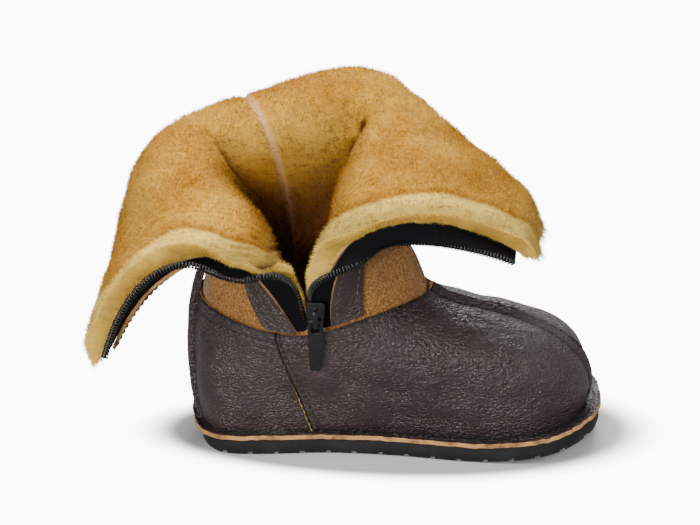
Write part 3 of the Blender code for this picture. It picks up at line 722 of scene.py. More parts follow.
def fleece_finish(name, hairs):
    """Sheepskin pile, whose colour runs over the shaft with the shade that each point was given."""
    finish = Finish(name, Roughness=0.9, Specular_IOR_Level=0.02, Sheen_Weight=0.0 if hairs else 0.12)
    shade = finish.shade("Color")
    dabs = finish.warped(finish.place((0.34, 1.0, 1.0)), 150.0, 0.0014)
    dabs = finish.noise(dabs, 640.0, 3.0, 0.62).step(0.52, 0.76)
    strand = finish.noise(finish.place(), 2300.0, 2.0, 0.6)
    darker = finish.vector("MULTIPLY", shade, (0.74, 0.60, 0.44))
    finish.give(Base_Color=finish.mix(shade, darker, dabs * 0.75 + (1.0 - strand) * 0.25))
    if not hairs:
        finish.bump(strand * 0.5 - dabs, 0.0005)
    return finish.material


# Meshes

def add_mesh(name, points, faces, finishes, slots=None, uv=None, shade=None):
    """A mesh from arrays: faces is a list of arrays, one for each number of corners."""
    mesh = bpy.data.meshes.new(name)
    points = np.asarray(points, np.float32).reshape(-1, 3)
    corners = np.concatenate([np.asarray(f).ravel() for f in faces]).astype(np.int32)
    counts = np.concatenate([np.full(len(f), np.shape(f)[1]) for f in faces])
    starts = np.concatenate([[0], np.cumsum(counts)[:-1]]).astype(np.int32)
    mesh.vertices.add(len(points))
    mesh.vertices.foreach_set("co", points.ravel())
    mesh.loops.add(len(corners))
    mesh.loops.foreach_set("vertex_index", corners)
    mesh.polygons.add(len(counts))
    mesh.polygons.foreach_set("loop_start", starts)
    mesh.polygons.foreach_set("use_smooth", np.full(len(counts), True))
    for finish in finishes:
        mesh.materials.append(finish)
    if slots is not None:
        mesh.polygons.foreach_set("material_index", np.asarray(slots, np.int32))
    if uv is not None:
        layer = mesh.uv_layers.new(name="OFBake")
        layer.data.foreach_set("uv", np.asarray(uv, np.float32).reshape(-1, 2)[corners].ravel())
    if shade is not None:
        colours = mesh.color_attributes.new("shade", "FLOAT_COLOR", "POINT")
        shade = np.reshape(shade, (-1, 3))
        full = np.concatenate([shade, np.ones((len(shade), 1))], 1).astype(np.float32)
        colours.data.foreach_set("color", full.ravel())
    mesh.update(calc_edges=True)
    piece = bpy.data.objects.new(name, mesh)
    bpy.context.scene.collection.objects.link(piece)
    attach(piece, "boot")
    return piece


def stand_for(node):
    """Hides the CAD node that a piece stands for."""
    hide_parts(node)


def grid_faces(rows, columns, wrap_rows=False, wrap_columns=False):
    i = np.arange(rows if wrap_rows else rows - 1)[:, None]
    j = np.arange(columns if wrap_columns else columns - 1)[None, :]
    here, there = i * columns, (i + 1) % rows * columns
    after = (j + 1) % columns
    return np.stack([here + j, there + j, there + after, here + after], -1).reshape(-1, 4)


def grid_mesh(name, grid, finish, turned=False, **given):
    """A piece from one grid of points, whose faces may be turned over."""
    faces = grid_faces(*grid.shape[:2])
    return add_mesh(name, grid, [faces[:, ::-1] if turned else faces], [finish], **given)


def thick_sheet(name, front, back, finishes, slots=(0, 0, 1)):
    """A sheet with two faces and a cut edge all round. slots gives the finish of each."""
    rows, columns = front.shape[:2]
    count = rows * columns
    face = grid_faces(rows, columns)
    order = np.arange(count).reshape(rows, columns)
    rim = np.concatenate([order[:, 0], order[-1, 1:], order[-2::-1, -1], order[0, -2:0:-1]])
    beyond = np.roll(rim, -1)
    edge = np.stack([beyond, rim, rim + count, beyond + count], -1)
    faces = [np.concatenate([face, face[:, ::-1] + count, edge[:, ::-1]])]
    use = np.repeat(slots, [len(face), len(face), len(edge)])
    points = np.concatenate([front.reshape(-1, 3), back.reshape(-1, 3)])
    piece = add_mesh(name, points, faces, finishes, use)
    sharpen(piece, 50)
    return piece


def sharpen(piece, degrees):
    piece.data.set_sharp_from_angle(angle=math.radians(degrees))


def wobble(points, size, seed, waves=10):
    """A smooth uneven field over space, about -1 to 1, with bumps about size across."""
    rng = np.random.default_rng(seed)
    directions = unit(rng.normal(size=(waves, 3))) * 2 * math.pi / (2 * size)
    directions = directions * rng.uniform(0.6, 1.5, (waves, 1))
    phases = rng.uniform(0, 2 * math.pi, waves)
    return np.sin(points @ directions.T + phases).sum(-1) / math.sqrt(waves) * 0.8


def along_path(path, out, pitch):
    """Points every pitch along a path, with the unit vectors along it and outwards."""
    length = distances(path[:, None])[:, 0]
    count = max(int(length[-1] / pitch), 1)
    steps = np.arange(len(path))
    at = np.interp((np.arange(count) + 0.5) * length[-1] / count, length, steps)
    along, out = (unit(read_along(v, steps, at)) for v in (np.gradient(path, axis=0), out))
    return read_along(path, steps, at), along, out


def copies(template, faces, origins, x_axes, y_axes, z_axes):
    """Points and faces of one small shape set at many places, each with its own three axes."""
    points = (
        origins[:, None]
        + template[None, :, :1] * x_axes[:, None]
        + template[None, :, 1:2] * y_axes[:, None]
        + template[None, :, 2:] * z_axes[:, None]
    )
    shifts = np.arange(len(origins))[:, None, None] * len(template)
    faces = [(np.asarray(face)[None] + shifts).reshape(-1, np.shape(face)[1]) for face in faces]
    return points.reshape(-1, 3), faces


def capsule(rings=5, around=6):
    """A short thread along X that dips at both ends, of unit length and width."""
    share = np.linspace(-1, 1, rings)
    turns = 2 * math.pi * np.arange(around) / around
    fat = np.sqrt(np.clip(1 - share**4 * 0.92, 0, 1))
    points = [
        (s * 0.5, math.cos(t) * f * 0.5, math.sin(t) * f * 0.5 - 0.45 * s**4)
        for s, f in zip(share, fat)
        for t in turns
    ]
    faces = grid_faces(rings, around, wrap_columns=True)
    last = (rings - 1) * around
    ends = np.array([np.arange(around)[::-1], last + np.arange(around)])
    return np.array(points), [faces[:, ::-1], ends[:, ::-1]]


def stitch_row(name, path, out, finish, node):
    """Stitches lying along a path on a surface that faces out; node is not used."""
    centre, along, up = along_path(path, out, STITCH_PITCH)
    side = unit(np.cross(up, along))
    up = np.cross(along, side)
    template, faces = capsule()
    axes = along * STITCH_LENGTH, side * STITCH_WIDTH, up * STITCH_WIDTH * 0.8
    points, faces = copies(template, faces, centre, *axes)
    add_mesh(name, points, faces, [finish])


# The leather foot

CREASES = {
    # Soft folds in the wall of the foot, from a first to a second place, as shares of the way round
    # and up. depth and width are in shares of the leather's thickness and of the ball's width.
    "turn": (0.205, 0.330, 0.300, 0.390, 0.350, 0.130, 0.085, 0.255, 0.415, 0.585, 0.640, 0.760),
    "up": (0.80, 0.62, 0.36, 0.70, 0.28, 0.62, 0.30, 0.20, 0.60, 0.62, 0.45, 0.55),
    "to_turn": (0.262, 0.395, 0.365, 0.440, 0.420, 0.165, 0.135, 0.300, 0.452, 0.548, 0.590, 0.700),
    "to_up": (0.42, 0.42, 0.16, 0.52, 0.20, 0.38, 0.16, 0.10, 0.50, 0.50, 0.30, 0.35),
    "depth": (-0.30, 0.26, -0.24, -0.20, 0.22, -0.22, 0.18, -0.20, 0.16, -0.20, 0.22, -0.25),
    "width": (0.070, 0.075, 0.060, 0.045, 0.060, 0.070, 0.060, 0.050, 0.045, 0.050, 0.060, 0.070),
}


def creases(turn, up):
    """Height of the soft folds at columns turn and shares up."""
    round_scale, up_scale = 2.3 * SOLE_LENGTH, 0.85 * INSTEP_HEIGHT
    total = np.zeros(np.broadcast(turn, up).shape)
    for k in range(len(CREASES["turn"])):
        turn_a, up_a, turn_b, up_b, depth, width = (
            CREASES[column][k] for column in ("turn", "up", "to_turn", "to_up", "depth", "width")
        )
        across, rise = (turn - turn_a) * round_scale, (up - up_a) * up_scale
        run = ((turn_b - turn_a) * round_scale, (up_b - up_a) * up_scale)
        length = math.hypot(*run)
        share = (across * run[0] + rise * run[1]) / length**2
        nearest = np.clip(share, 0, 1)
        away = np.hypot(across - nearest * run[0], rise - nearest * run[1])
        total += depth * LEATHER * bell(away, width * BALL_WIDTH)
    return total


SEAM_SWING = {
    # How far the side seams stand off their middle line, in shares of the way round.
    "up": (0.0, 0.15, 0.30, 0.50, 0.70, 0.85, 1.0),
    "swing": (-0.0035, -0.0060, -0.0045, 0.0010, 0.0090, 0.0125, 0.0140),
}


def past_seam(turn):
    """Way round from the nearer side seam, ahead of it above zero and behind it below."""
    return np.minimum(turn % 1, 1 - turn % 1) - seam_turn()


def slanted_wall(turn, up):
    """Points on the leather and their normals, after the side seams' own slant."""
    swing = np.interp(up, SEAM_SWING["up"], SEAM_SWING["swing"]) * bell(past_seam(turn), 0.03)
    turn = turn + np.where(turn % 1 < 0.5, 1, -1) * swing
    return wall(turn, up), wall_normal(turn, up)


def relief(flat, turn, up):
    """Height of the creases and small lumps, which die out at the leather's foot and collar."""
    shape = ramp(up, 0, 0.08) * ramp(up, 1, 0.94)
    return (creases(turn % 1, up) + 0.00035 * wobble(flat, 0.011, 3)) * shape


# The vamp seam's turned edges, the groove between them and the stitched line beside them: how high
# or deep, how wide, and how far from the seam
RIDGE, RIDGE_WIDTH = 0.0015, 0.0019
GROOVE, GROOVE_WIDTH = 0.0021, 0.00050
LINE, LINE_WIDTH, LINE_AT = 0.00060, 0.0008, 0.0036

# The side seams' dark edge lies this far behind the seam, as a share of the way round
EDGE_BEHIND = 0.0010


def vamp_seam(x):
    """Plan line of the seam down the vamp, which swings to the inner side over the toe."""
    return seam_line(x) - BALL_WIDTH * 0.10 * ramp(sole_share(x), 0.72, 0.92) ** 1.5


def from_vamp_seam(points):
    """Distance from the vamp's seam, and how far its ridge has grown ahead of the collar."""
    start = COLLAR_LENGTH * 0.97 - HEEL_CENTRE
    away = np.abs(points[..., 1] - vamp_seam(points[..., 0]))
    return away, ramp(points[..., 0], start, start + 0.004)


def vamp_ridge(points):
    """Height of the two turned edges that meet in the seam down the vamp."""
    away, ahead = from_vamp_seam(points)
    low = ramp(points[..., 2], 0.014, 0.018)
    ridge = RIDGE * bell(away, RIDGE_WIDTH) - GROOVE * bell(away, GROOVE_WIDTH)
    return (ridge - LINE * bell(away - LINE_AT, LINE_WIDTH)) * ahead * low


def seam_lines(turn, up):
    """1 in the side seams' two sunk lines of painted shade, at the vamp's edge and under its stitches, and
    0 away.
    """
    past = past_seam(turn)
    lines = bell(past + EDGE_BEHIND, 0.0011) + 0.8 * bell(past - SEAM_STITCHES, 0.0009)
    return lines * ramp(up, 0, 0.04)


def quarter_roll(turn, up):
    """1 in the sunk line of painted shade under the quarter's rolled edge and under the vamp's stitches."""
    return bell(up - TOP_STITCHES, 0.012) * np.clip(1.2 - past_seam(turn) / 0.12, 0.25, 1)


def foot_shade(turn, up, points):
    """Painted shade on the leather, from 0 to 1, in seams, at its cut edge and where it meets the flange.
    """
    away, ahead = from_vamp_seam(points)
    dark = 0.85 * seam_lines(turn, up) + 0.55 * quarter_roll(turn, up)
    dark = dark + (0.9 * bell(away, 0.0007) + 0.5 * bell(away - LINE_AT, 0.0009)) * ahead
    dark = dark + 0.75 * fade(up, 0.05) + 0.8 * ramp(up, 0.975, 0.995)
    return np.clip(dark, 0, 0.92)


def dressed_wall(turn, up):
    """Points on the leather's outer face, with its laps, creases and raised seam, and their normals."""
    turn, up = np.broadcast_arrays(turn, up)
    flat, out = slanted_wall(turn, up)
    lap = LAP * ramp(past_seam(turn), -LAP_HALF, LAP_HALF) * np.clip(up * 12, 0, 1)
    height = lap + relief(flat, turn, up) + vamp_ridge(flat)
    height = height - 0.00045 * seam_lines(turn, up) - 0.00030 * quarter_roll(turn, up)
    return flat + out * height[..., None], out


def upper_columns():
    """Ways round for the foot's columns, closer together at the side seams."""
    even = (np.arange(440) + 0.5) / 440
    laps = (seam_turn(), 1 - seam_turn())
    near = [lap + side * LAP_HALF for lap in laps for side in (-1.0, -0.3, 0.3, 1.0)]
    near += [lap + 0.0008 * step for lap in laps for step in range(-9, 10)]
    return np.sort(np.concatenate([even, near]))


def make_upper(leather, raw, lining):
    turns = upper_columns()[:, None]
    ups = np.concatenate([np.linspace(0, 0.1, 12)[:-1], np.linspace(0.1, 1, 96)])
    outer, out = dressed_wall(turns, ups[None])
    plan, away = outline(turns[:, 0])
    rim = with_height(plan, plan[:, 0] * 0)
    ragged = 0.00022 * wobble(rim, 0.0016, 5)
    base = sole_top(plan[:, 0]) + SEAT_GAP + 0.00018 * wobble(rim, 0.006, 6)
    rim_low = with_height(plan + away * ragged[:, None], base)
    rim_high = with_height(plan + away * (ragged[:, None] - 0.0001), base + LEATHER)
    rim_in = with_height(plan - away * 0.0004, base + LEATHER * 1.06)
    width = flange_width(turns[:, 0])[:, None]
    tops = []
    for share in np.linspace(0, 1, 9)[1:-1]:
        spot = plan - away * (0.0004 + share * (width - 0.0004))
        height = sole_top(spot[:, 0]) + SEAT_GAP + LEATHER
        height = height - 0.00035 * bell(share - 0.62, 0.22)
        tops.append(with_height(spot, height))
    inner = outer - out * LEATHER
    collar_mid = outer[:, -1] * 0.78 + inner[:, -1] * 0.22 + UP * 0.00025
    foot = inner[:, 0] * (1, 1, 0) + UP * (sole_top(inner[:, 0, 0]) + SEAT_GAP)[:, None]
    inside = inner[:, ::-1][:, ::3]
    columns = [rim_low, rim_high, rim_in, *tops, *np.moveaxis(outer, 1, 0), collar_mid]
    columns += [*np.moveaxis(inside, 1, 0), foot]
    grid = np.stack(columns, 1)
    faces = grid_faces(*grid.shape[:2], wrap_rows=True, wrap_columns=True)
    first_wall = 3 + len(tops)
    last_wall = first_wall + len(ups) - 1
    column = np.tile(np.arange(grid.shape[1]), grid.shape[0])
    use = np.zeros(len(faces), int)
    use[column == 0] = 1
    use[column == last_wall + 1] = 1
    use[column >= last_wall + 2] = 2
    # Painted shade on the leather: in its seams and grooves, under the cut top edge, and across the flange,
    # darkest where it meets the wall.
    shade = np.zeros(grid.shape)
    shade[:, first_wall:last_wall + 1] = foot_shade(turns, ups[None], outer)[..., None]
    shade[:, last_wall + 1] = 0.6
    shade[:, 2:first_wall] = (0.8 * np.linspace(0, 1, first_wall - 2) ** 2)[None, :, None]
    piece = add_mesh("leather_foot", grid, [faces], [leather, raw, lining], use, shade=shade)
    sharpen(piece, 60)
    stand_for("upper")


def make_foot_stitches(thread):
    seam = seam_turn()
    level = np.full(160, TOP_STITCHES)
    rising = np.linspace(0.04, TOP_STITCHES, 90)
    rows = []
    ahead = seam + SEAM_STITCHES
    for name, low, high in (("inner", ahead, 0.462), ("outer", 0.538, 1 - ahead)):
        rows.append((f"topline_stitches_{name}", np.linspace(low, high, 160), level))
    for name, low, high in (("inner", 0.035, seam - 0.006), ("outer", 1 - seam + 0.006, 0.965)):
        rows.append((f"quarter_stitches_{name}", np.linspace(low, high, 80), level[:80]))
    for name, turn in (("inner", ahead), ("outer", 1 - ahead)):
        rows.append((f"side_stitches_{name}", np.full(90, turn), rising))
    for name, turns, ups in rows:
        stitch_row(name, *dressed_wall(turns, ups), thread, "upper")


def make_side_seams(raw):
    """The vamp's cut edge, seen as a thin tan line where it laps over the heel quarter."""
    seam = seam_turn()
    ups = np.linspace(0.005, 0.50, 100)
    thin = np.clip((0.50 - ups) / 0.20, 0.04, 1) * (0.55 + 0.25 * np.sin(ups * 95))
    for name, lap, way in (("inner", seam, 1), ("outer", 1 - seam, -1)):
        rows = []
        for step, raised in ((-1.9, 0.05), (-1.7, 0.72), (-1.0, 1.02), (0.1, 1.03)):
            turn = lap + way * LAP_HALF * (-1.9 + (step + 1.9) * thin)
            flat, out = slanted_wall(turn, ups)
            lifted = raised * LAP * np.clip(ups * 12, 0, 1) + relief(flat, turn, ups)
            ragged = 0.00006 * wobble(flat, 0.0012, 8)
            rows.append(flat + out * (lifted + 0.00008 + ragged)[:, None])
        grid_mesh(f"seam_edge_{name}", np.stack(rows[::way]), raw)


def make_backstay(leather, raw, thread):
    turns = np.linspace(-0.12, 0.12, 61)
    places = wall(turns, np.full(turns.shape, 0.5))[:, 1]
    order = np.argsort(places)
    ups = np.linspace(0.03, 1.0, 60)
    inner, outer = [], []
    for share in np.linspace(-0.5, 0.5, 17):
        turn = float(np.interp(share * HEEL_STRIP_WIDTH, places[order], turns[order]))
        points, normals = wall(turn, ups), wall_normal(turn, ups)
        shares = np.array([0.15, 0.4, 0.65, 0.85])
        plan, away = outline(np.full(4, turn), -flange_width(np.full(4, turn)) * shares)
        base = sole_top(plan[:, 0]) + SEAT_GAP + LEATHER
        curl = 0.0011 * fade(shares, 1 / 1.6) ** 1.4
        foot = with_height(plan, base + curl)
        rising = unit(points[-1] - points[-2])
        climb = np.linspace(0, 1, 9)[1:, None]
        above = points[-1] + rising * climb * HEEL_STRIP_ABOVE + np.array([0.0022, 0, 0]) * climb**1.3
        path = np.concatenate([foot, points, above])
        lifted = unit(UP + with_height(away, np.zeros(4)) * 0.5)
        facing = np.concatenate([lifted, normals, np.repeat(normals[-1:], 8, 0)])
        ragged = 1 + 0.10 * wobble(path, 0.004, 11)
        swell = 0.00085 * (1 - abs(2 * share) ** 3)
        inner.append(path - facing * 0.0004)
        outer.append(path + facing * (SEAT_GAP + STRIP * ragged + swell)[:, None])
    front, back = np.array(outer), np.array(inner)
    piece = thick_sheet("heel_strip", front, back, [leather, raw], (0, 0, 0))
    stand_for("backstay")
    for name, k in (("inner", 2), ("outer", -3)):
        path, out = front[k][5:], unit(front[k] - back[k])[5:]
        stitch_row(f"heel_strip_stitches_{name}", path, out, thread, "backstay")


# The rubber sole

def make_outsole(rubber):
    grooves = ((-0.36, -0.30), (0.30, 0.36))
    stations = tread_stations()
    sections = []
    for k, (place, tread) in enumerate(stations):
        places = [(place, tread)]
        if k and place - stations[k - 1][0] > 0.002:
            before, count = stations[k - 1][0], 4
            step = (place - before) / count
            places = [(before + step * i, tread) for i in range(1, count)] + places
        for at, deep in places:
            sections.append(sole_section(at, deep, grooves))
    points = np.array(sections)
    rows, columns = points.shape[:2]
    faces = grid_faces(rows, columns, wrap_columns=True)
    ends = np.array([np.arange(columns), (rows - 1) * columns + np.arange(columns)[::-1]])
    piece = add_mesh("rubber_sole", points, [faces, ends], [rubber])
    sharpen(piece, 35)
    stand_for("outsole")


def sole_section(place, tread, grooves):
    share = min(max(place / SOLE_LENGTH, 1e-4), 1 - 1e-4)
    turn = turn_at(share)
    inset = SOLE_INSET + HEEL_INSET * heel_end(share)
    (inner, _), (outer, _) = outline(turn, -inset), outline(1 - turn, -inset)
    x = (inner[0] + outer[0]) / 2
    middle, half = (inner[1] + outer[1]) / 2, (outer[1] - inner[1]) / 2
    bottom, top = float(lift(x)), float(sole_top(x))
    shoulder = bottom + TREAD_DEPTH
    edge = min(SOLE_BEVEL, half * 0.2)
    across = [-half + edge]
    for low, high in grooves:
        across += [half * low * 1.7, half * low * 1.7, half * high * 1.7, half * high * 1.7]
    across += [half - edge]
    depth = bottom + TREAD_DEPTH * (1 - tread)
    heights = [depth, depth, shoulder, shoulder, depth, depth, shoulder, shoulder, depth, depth]
    loop = [(x, middle + y, z) for y, z in zip(across, heights)]
    swell = 0.00022 * min(1.0, half / 0.01)
    side = [(half, shoulder), (half + swell, shoulder + (top - shoulder) * 0.3)]
    side += [(half + swell * 0.6, shoulder + (top - shoulder) * 0.75), (half - 0.0001, top)]
    loop += [(x, middle + y, z) for y, z in side]
    loop += [(x, middle - y, z) for y, z in side[::-1]]
    return np.array(loop)


# The sheepskin shaft

SHAFT_ROWS, SHAFT_COLUMNS = 281, 171

# Colours of the pile
GOLD = (0.61, 0.325, 0.034)
PALE_GOLD = (0.74, 0.46, 0.070)
OCHRE = (0.46, 0.195, 0.014)
CREAM = (0.90, 0.66, 0.15)
DULL_CREAM = (0.90, 0.66, 0.19)
TIP_CREAM = (0.86, 0.62, 0.13)
BROWN = (0.32, 0.12, 0.014)
PINK = (0.72, 0.42, 0.17)
SKIN = (0.30, 0.13, 0.075)
DEEP_CREAM = (0.42, 0.25, 0.10)
# The next two are painted: shade in the pile's closed folds, and shadow behind the near flap's ridge
PAINTED_SHADE_BROWN = (0.085, 0.024, 0.003)
FOLD_SHADOW_BROWN = (0.085, 0.026, 0.004)

# Distances in from the zip's edges: how far the cream roots show, and where the brown line lies
CREAM_BAND, BROWN_LINE = 0.0068, 0.0098

# Distance between the fleece's ripples
RIPPLE_PITCH = 0.0031

# Half the far seam's width, and the width over which its colour ends
SEAM_HALF, SEAM_SOFT = 0.0009, 0.0006

# Length of the hairs, and how many there are
PILE_HAIR, PILE_HAIRS = 0.0015, 136000
CUT_HAIR, CUT_HAIRS = 0.0019, 22000
END_HAIR, END_HAIRS = 0.0036, 18000


def refine(grid, at, axis):
    """A smooth reading of a grid at fractional places along one of its axes."""
    grid = np.moveaxis(grid, axis, 0)
    last = len(grid) - 1
    i = np.clip(np.floor(at).astype(int), 0, last - 1)
    t = (at - i).reshape(-1, *[1] * (grid.ndim - 1))
    before, here, there, after = (grid[np.clip(i + k, 0, last)] for k in (-1, 0, 1, 2))
    bend = 2 * before - 5 * here + 4 * there - after + t * (3 * (here - there) + after - before)
    return np.moveaxis(here + t / 2 * (there - before + t * bend), 0, axis)


def dense_shaft():
    """Suede and fleece sides of the shaft as fine grids, with their shares around and along."""
    suede, fleece = shaft_grids()
    rows, columns = suede.shape[:2]
    at = np.linspace(0, rows - 1, SHAFT_ROWS)
    up = np.linspace(0, columns - 1, SHAFT_COLUMNS)
    around = np.interp(at, np.arange(rows), shaft_columns())
    run = np.interp(up, np.arange(columns), np.concatenate([[-TUCK / SHAFT_LENGTH], shaft_rows()]))
    fine = [refine(refine(grid, at, 0), up, 1) for grid in (suede, fleece)]
    return fine[0], fine[1], around, run


def blend_colour(first, second, share):
    return first + (np.asarray(second) - first) * np.asarray(share)[..., None]


def all_over(colour, grid):
    return np.broadcast_to(np.asarray(colour), grid.shape)


def on_seam(from_seam):
    """1 on the far seam's bare line and 0 beside it."""
    return fade(np.abs(from_seam) - SEAM_HALF, SEAM_SOFT)


def bake_spots(rows, columns):
    """Places in the OFBake map, from a value for each row and one for each column."""
    return np.stack(np.broadcast_arrays(rows[:, None], columns[None]), -1)


FOLD_LINE = {
    # Where the near flap's ridge stands in front of the far wall, as shares along and around.
    "run": (0.271, 0.327, 0.370, 0.401, 0.444, 0.506, 0.530),
    "around": (0.412, 0.390, 0.368, 0.350, 0.358, 0.374, 0.378),
}


def fold_shadow(around, run):
    """Painted shadow behind the flap's ridge, soft on its far side, and painted shade in the throat below.
    """
    past = around - np.interp(run, FOLD_LINE["run"], FOLD_LINE["around"])
    shade = np.where(past > 0, np.exp(-np.abs(past) / 0.032), bell(past, 0.007))
    shade = shade * ramp(run, 0.545, 0.445) * ramp(around, 0.30, 0.34)
    within = ramp(around, 0.26, 0.34) * ramp(around, 0.885, 0.835)
    throat = ramp(run, 0.45, 0.28) * within
    return np.clip(0.85 * shade + 0.80 * throat, 0, 0.93)


def pile_shade(points, from_zip, from_end, from_seam, run, open_share):
    """Colour of the pile: gold, creamy where a cut edge shows its roots, browner just behind, with painted
    shade in folds.
    """
    patch = wobble(points, 0.014, 21)
    streak = wobble(points, 0.0045, 22)
    ochre = np.clip(0.25 + 0.35 * patch + 0.15 * streak, 0, 1)
    colour = blend_colour(all_over(GOLD, points), OCHRE, ochre)
    colour = blend_colour(colour, PALE_GOLD, np.clip(wobble(points, 0.018, 23) * 0.8, 0, 0.6))
    edge = from_zip + 0.0006 * wobble(points, 0.009, 24)
    colour = blend_colour(colour, BROWN, 0.55 * bell(edge - BROWN_LINE, 0.0018) * np.clip(run * 6, 0, 1))
    colour = blend_colour(colour, CREAM, fade(edge - CREAM_BAND, 0.0024))
    tip = from_end + 0.0015 * wobble(points, 0.006, 25)
    colour = blend_colour(colour, CREAM, 0.75 * fade(tip, 0.010))
    # Painted shade: the pile darkens towards the toe, on the side that gets less light.
    colour = colour * (1 - 0.22 * ramp(points[..., 0], 0.050, 0.085))[..., None]
    colour = blend_colour(colour, PINK, on_seam(from_seam))
    # Painted shade where the pile sees little of the room, in closed folds.
    return blend_colour(colour, PAINTED_SHADE_BROWN, 0.98 * np.clip(1.12 - open_share / 0.80, 0, 1) ** 0.6)


def openness(grid, normals, every=4, rays=48):
    """How much of the room each point of the pile sees, from 0 in a closed fold to 1 in the open."""
    rows, columns = (np.append(np.arange(0, n - 1, every), n - 1) for n in grid.shape[:2])
    coarse, out = grid[np.ix_(rows, columns)], normals[np.ix_(rows, columns)]
    faces = grid_faces(*coarse.shape[:2])
    tree = BVHTree.FromPolygons(coarse.reshape(-1, 3).tolist(), faces.tolist())
    around = np.arange(rays) * math.pi * (3 - math.sqrt(5))
    high = 1 - (np.arange(rays) + 0.5) / rays
    flat = np.sqrt(1 - high**2)
    sky = np.stack([np.cos(around) * flat, np.sin(around) * flat, high], -1)
    seen = np.zeros(coarse.shape[:2])
    for i, j in np.ndindex(seen.shape):
        start = Vector(coarse[i, j] + out[i, j] * 0.0012)
        facing = sky @ out[i, j]
        for direction, weight in zip(sky, facing):
            if weight > 0.05 and tree.ray_cast(start, Vector(direction))[0] is None:
                seen[i, j] += weight
    seen = seen / (0.5 * rays)
    for axis, own in enumerate((rows, columns)):
        at = np.interp(np.arange(grid.shape[axis]), own, np.arange(len(own)))
        seen = refine(seen, at, axis)
    return np.clip(seen, 0, 1)


def plush(grid, normals, from_zip, from_end, run):
    """The fleece's own soft lumps and fine ripples."""
    place = distances(grid)
    soft = 0.00040 * wobble(grid, 0.0085, 31) + 0.00012 * wobble(grid, 0.0028, 32)
    wave = np.sin(place / RIPPLE_PITCH * 2 * math.pi + 2.2 * wobble(grid, 0.010, 33))
    ripple = 0.00040 * wave * np.clip(0.55 + 0.7 * wobble(grid, 0.013, 34), 0, 1)
    inside = ramp(from_zip, 0, 0.006) * ramp(from_end, 0, 0.006)
    fold = -0.0008 * bell(from_zip - 0.0100, 0.0018) * np.clip(run * 5, 0, 1)
    return grid + normals * (soft + ripple * inside + fold - 0.0006)[..., None]


def make_shaft(suede_look, looks):
    suede, fleece, around, run = dense_shaft()
    out = normals_of(fleece)
    place = distances(fleece)
    from_zip = np.minimum(place, place[-1] - place)
    from_end = np.broadcast_to((1 - run) * SHAFT_LENGTH, place.shape)
    from_seam = place - [[np.interp(FAR_SEAM, around, column) for column in place.T]]
    runs = np.broadcast_to(run, place.shape)
    seam_dip = 0.0016 * bell(from_seam, 0.0013) * ramp(runs, 0.02, 0.12)
    plushed = plush(fleece, out, from_zip, from_end, runs) - out * seam_dip[..., None]
    shade = pile_shade(plushed, from_zip, from_end, from_seam, runs, openness(fleece, out))
    # Painted shadow behind the near flap's ridge and painted shade in its throat, lighter on the seam's
    # bare line.
    folds = fold_shadow(*np.broadcast_arrays(around[:, None], run[None]))
    shade = blend_colour(shade, FOLD_SHADOW_BROWN, folds * (1 - 0.45 * on_seam(from_seam)))
    uv = bake_spots(around * 0.9 + 0.05, np.clip(run, 0, 1) * 0.6 + 0.05)
    split = int(np.searchsorted(around, FAR_SEAM))
    dimpled = suede - normals_of(suede) * (0.00012 * wobble(suede, 0.006, 41))[..., None]
    for side, rows in (("back", slice(0, split + 1)), ("front", slice(split, None))):
        skin = grid_mesh(f"suede_{side}", dimpled[rows][::2, ::2], suede_look, turned=True)
        pile = grid_mesh(f"fleece_{side}", plushed[rows], looks[0], uv=uv[rows], shade=shade[rows])
        for piece in (skin, pile):
            stand_for(f"shaft_{side}")
    shown = ramp(runs, 0.03, 0.08) * (np.abs(from_seam) > 0.0011)
    hairs("pile", plushed, out, shade, uv, shown, PILE_HAIR, looks[1], 51, PILE_HAIRS, 5)
    for side, row in (("back", 0), ("front", -1)):
        make_cut_band(side, suede[row], plushed[row], run, looks)
    make_pile_end(suede[:, -1], plushed[:, -1], around, looks)


def pile_band(low, high, steps):
    """Points between the skin and the pile's tips, with their shares of the way up."""
    share = np.linspace(0, 1, steps)
    return low[:, None] + (high - low)[:, None] * share[None, :, None], share


def leaning(out, low, high, amount):
    """Ways for hairs to grow, out of a cut edge and up along the pile."""
    return unit(out + unit(high - low)[:, None] * amount)


def make_cut_band(side, low, high, run, looks):
    """The pile seen from the side along one zip edge, from the skin to its tips."""
    outwards = zip_edge(side, np.clip(run, 0, 1))[2]
    grid, share = pile_band(low, high, 21)
    swell = np.sin(math.pi * share) ** 0.8
    grid = grid + outwards[:, None] * (0.0011 * swell)[None, :, None]
    grid = grid + outwards[:, None] * (0.00045 * swell * wobble(grid, 0.004, 61))[..., None]
    out = normals_of(grid)
    turned = bool((out * outwards[:, None]).sum() < 0)
    out = -out if turned else out
    mottled = np.clip(0.15 + 0.3 * wobble(grid, 0.009, 62), 0, 1)
    # Painted light: the band's cream is a tenth brighter than the pile's, against the shade that falls on
    # the band.
    colour = blend_colour(np.minimum(all_over(CREAM, grid) * 1.10, 1), DULL_CREAM, mottled)
    colour = blend_colour(colour, SKIN, fade(share, 0.09))
    colour = blend_colour(colour, TIP_CREAM, 0.4 * ramp(share, 0.86, 1))
    colour = blend_colour(colour, DEEP_CREAM, 0.6 * fade(run, 0.10)[:, None])
    uv = bake_spots(np.clip(run, 0, 1) * 0.9 + 0.05, share * 0.1 + (0.70 if side == "back" else 0.82))
    piece = grid_mesh(f"cut_pile_{side}", grid, looks[0], turned, uv=uv, shade=colour)
    shown = ramp(run, 0.02, 0.05)[:, None] * ramp(share, 0.06, 0.11)[None]
    out = leaning(out, low, high, 1.5)
    hairs(f"cut_hair_{side}", grid, out, colour, uv, shown, CUT_HAIR, looks[1], 71, CUT_HAIRS, 1)


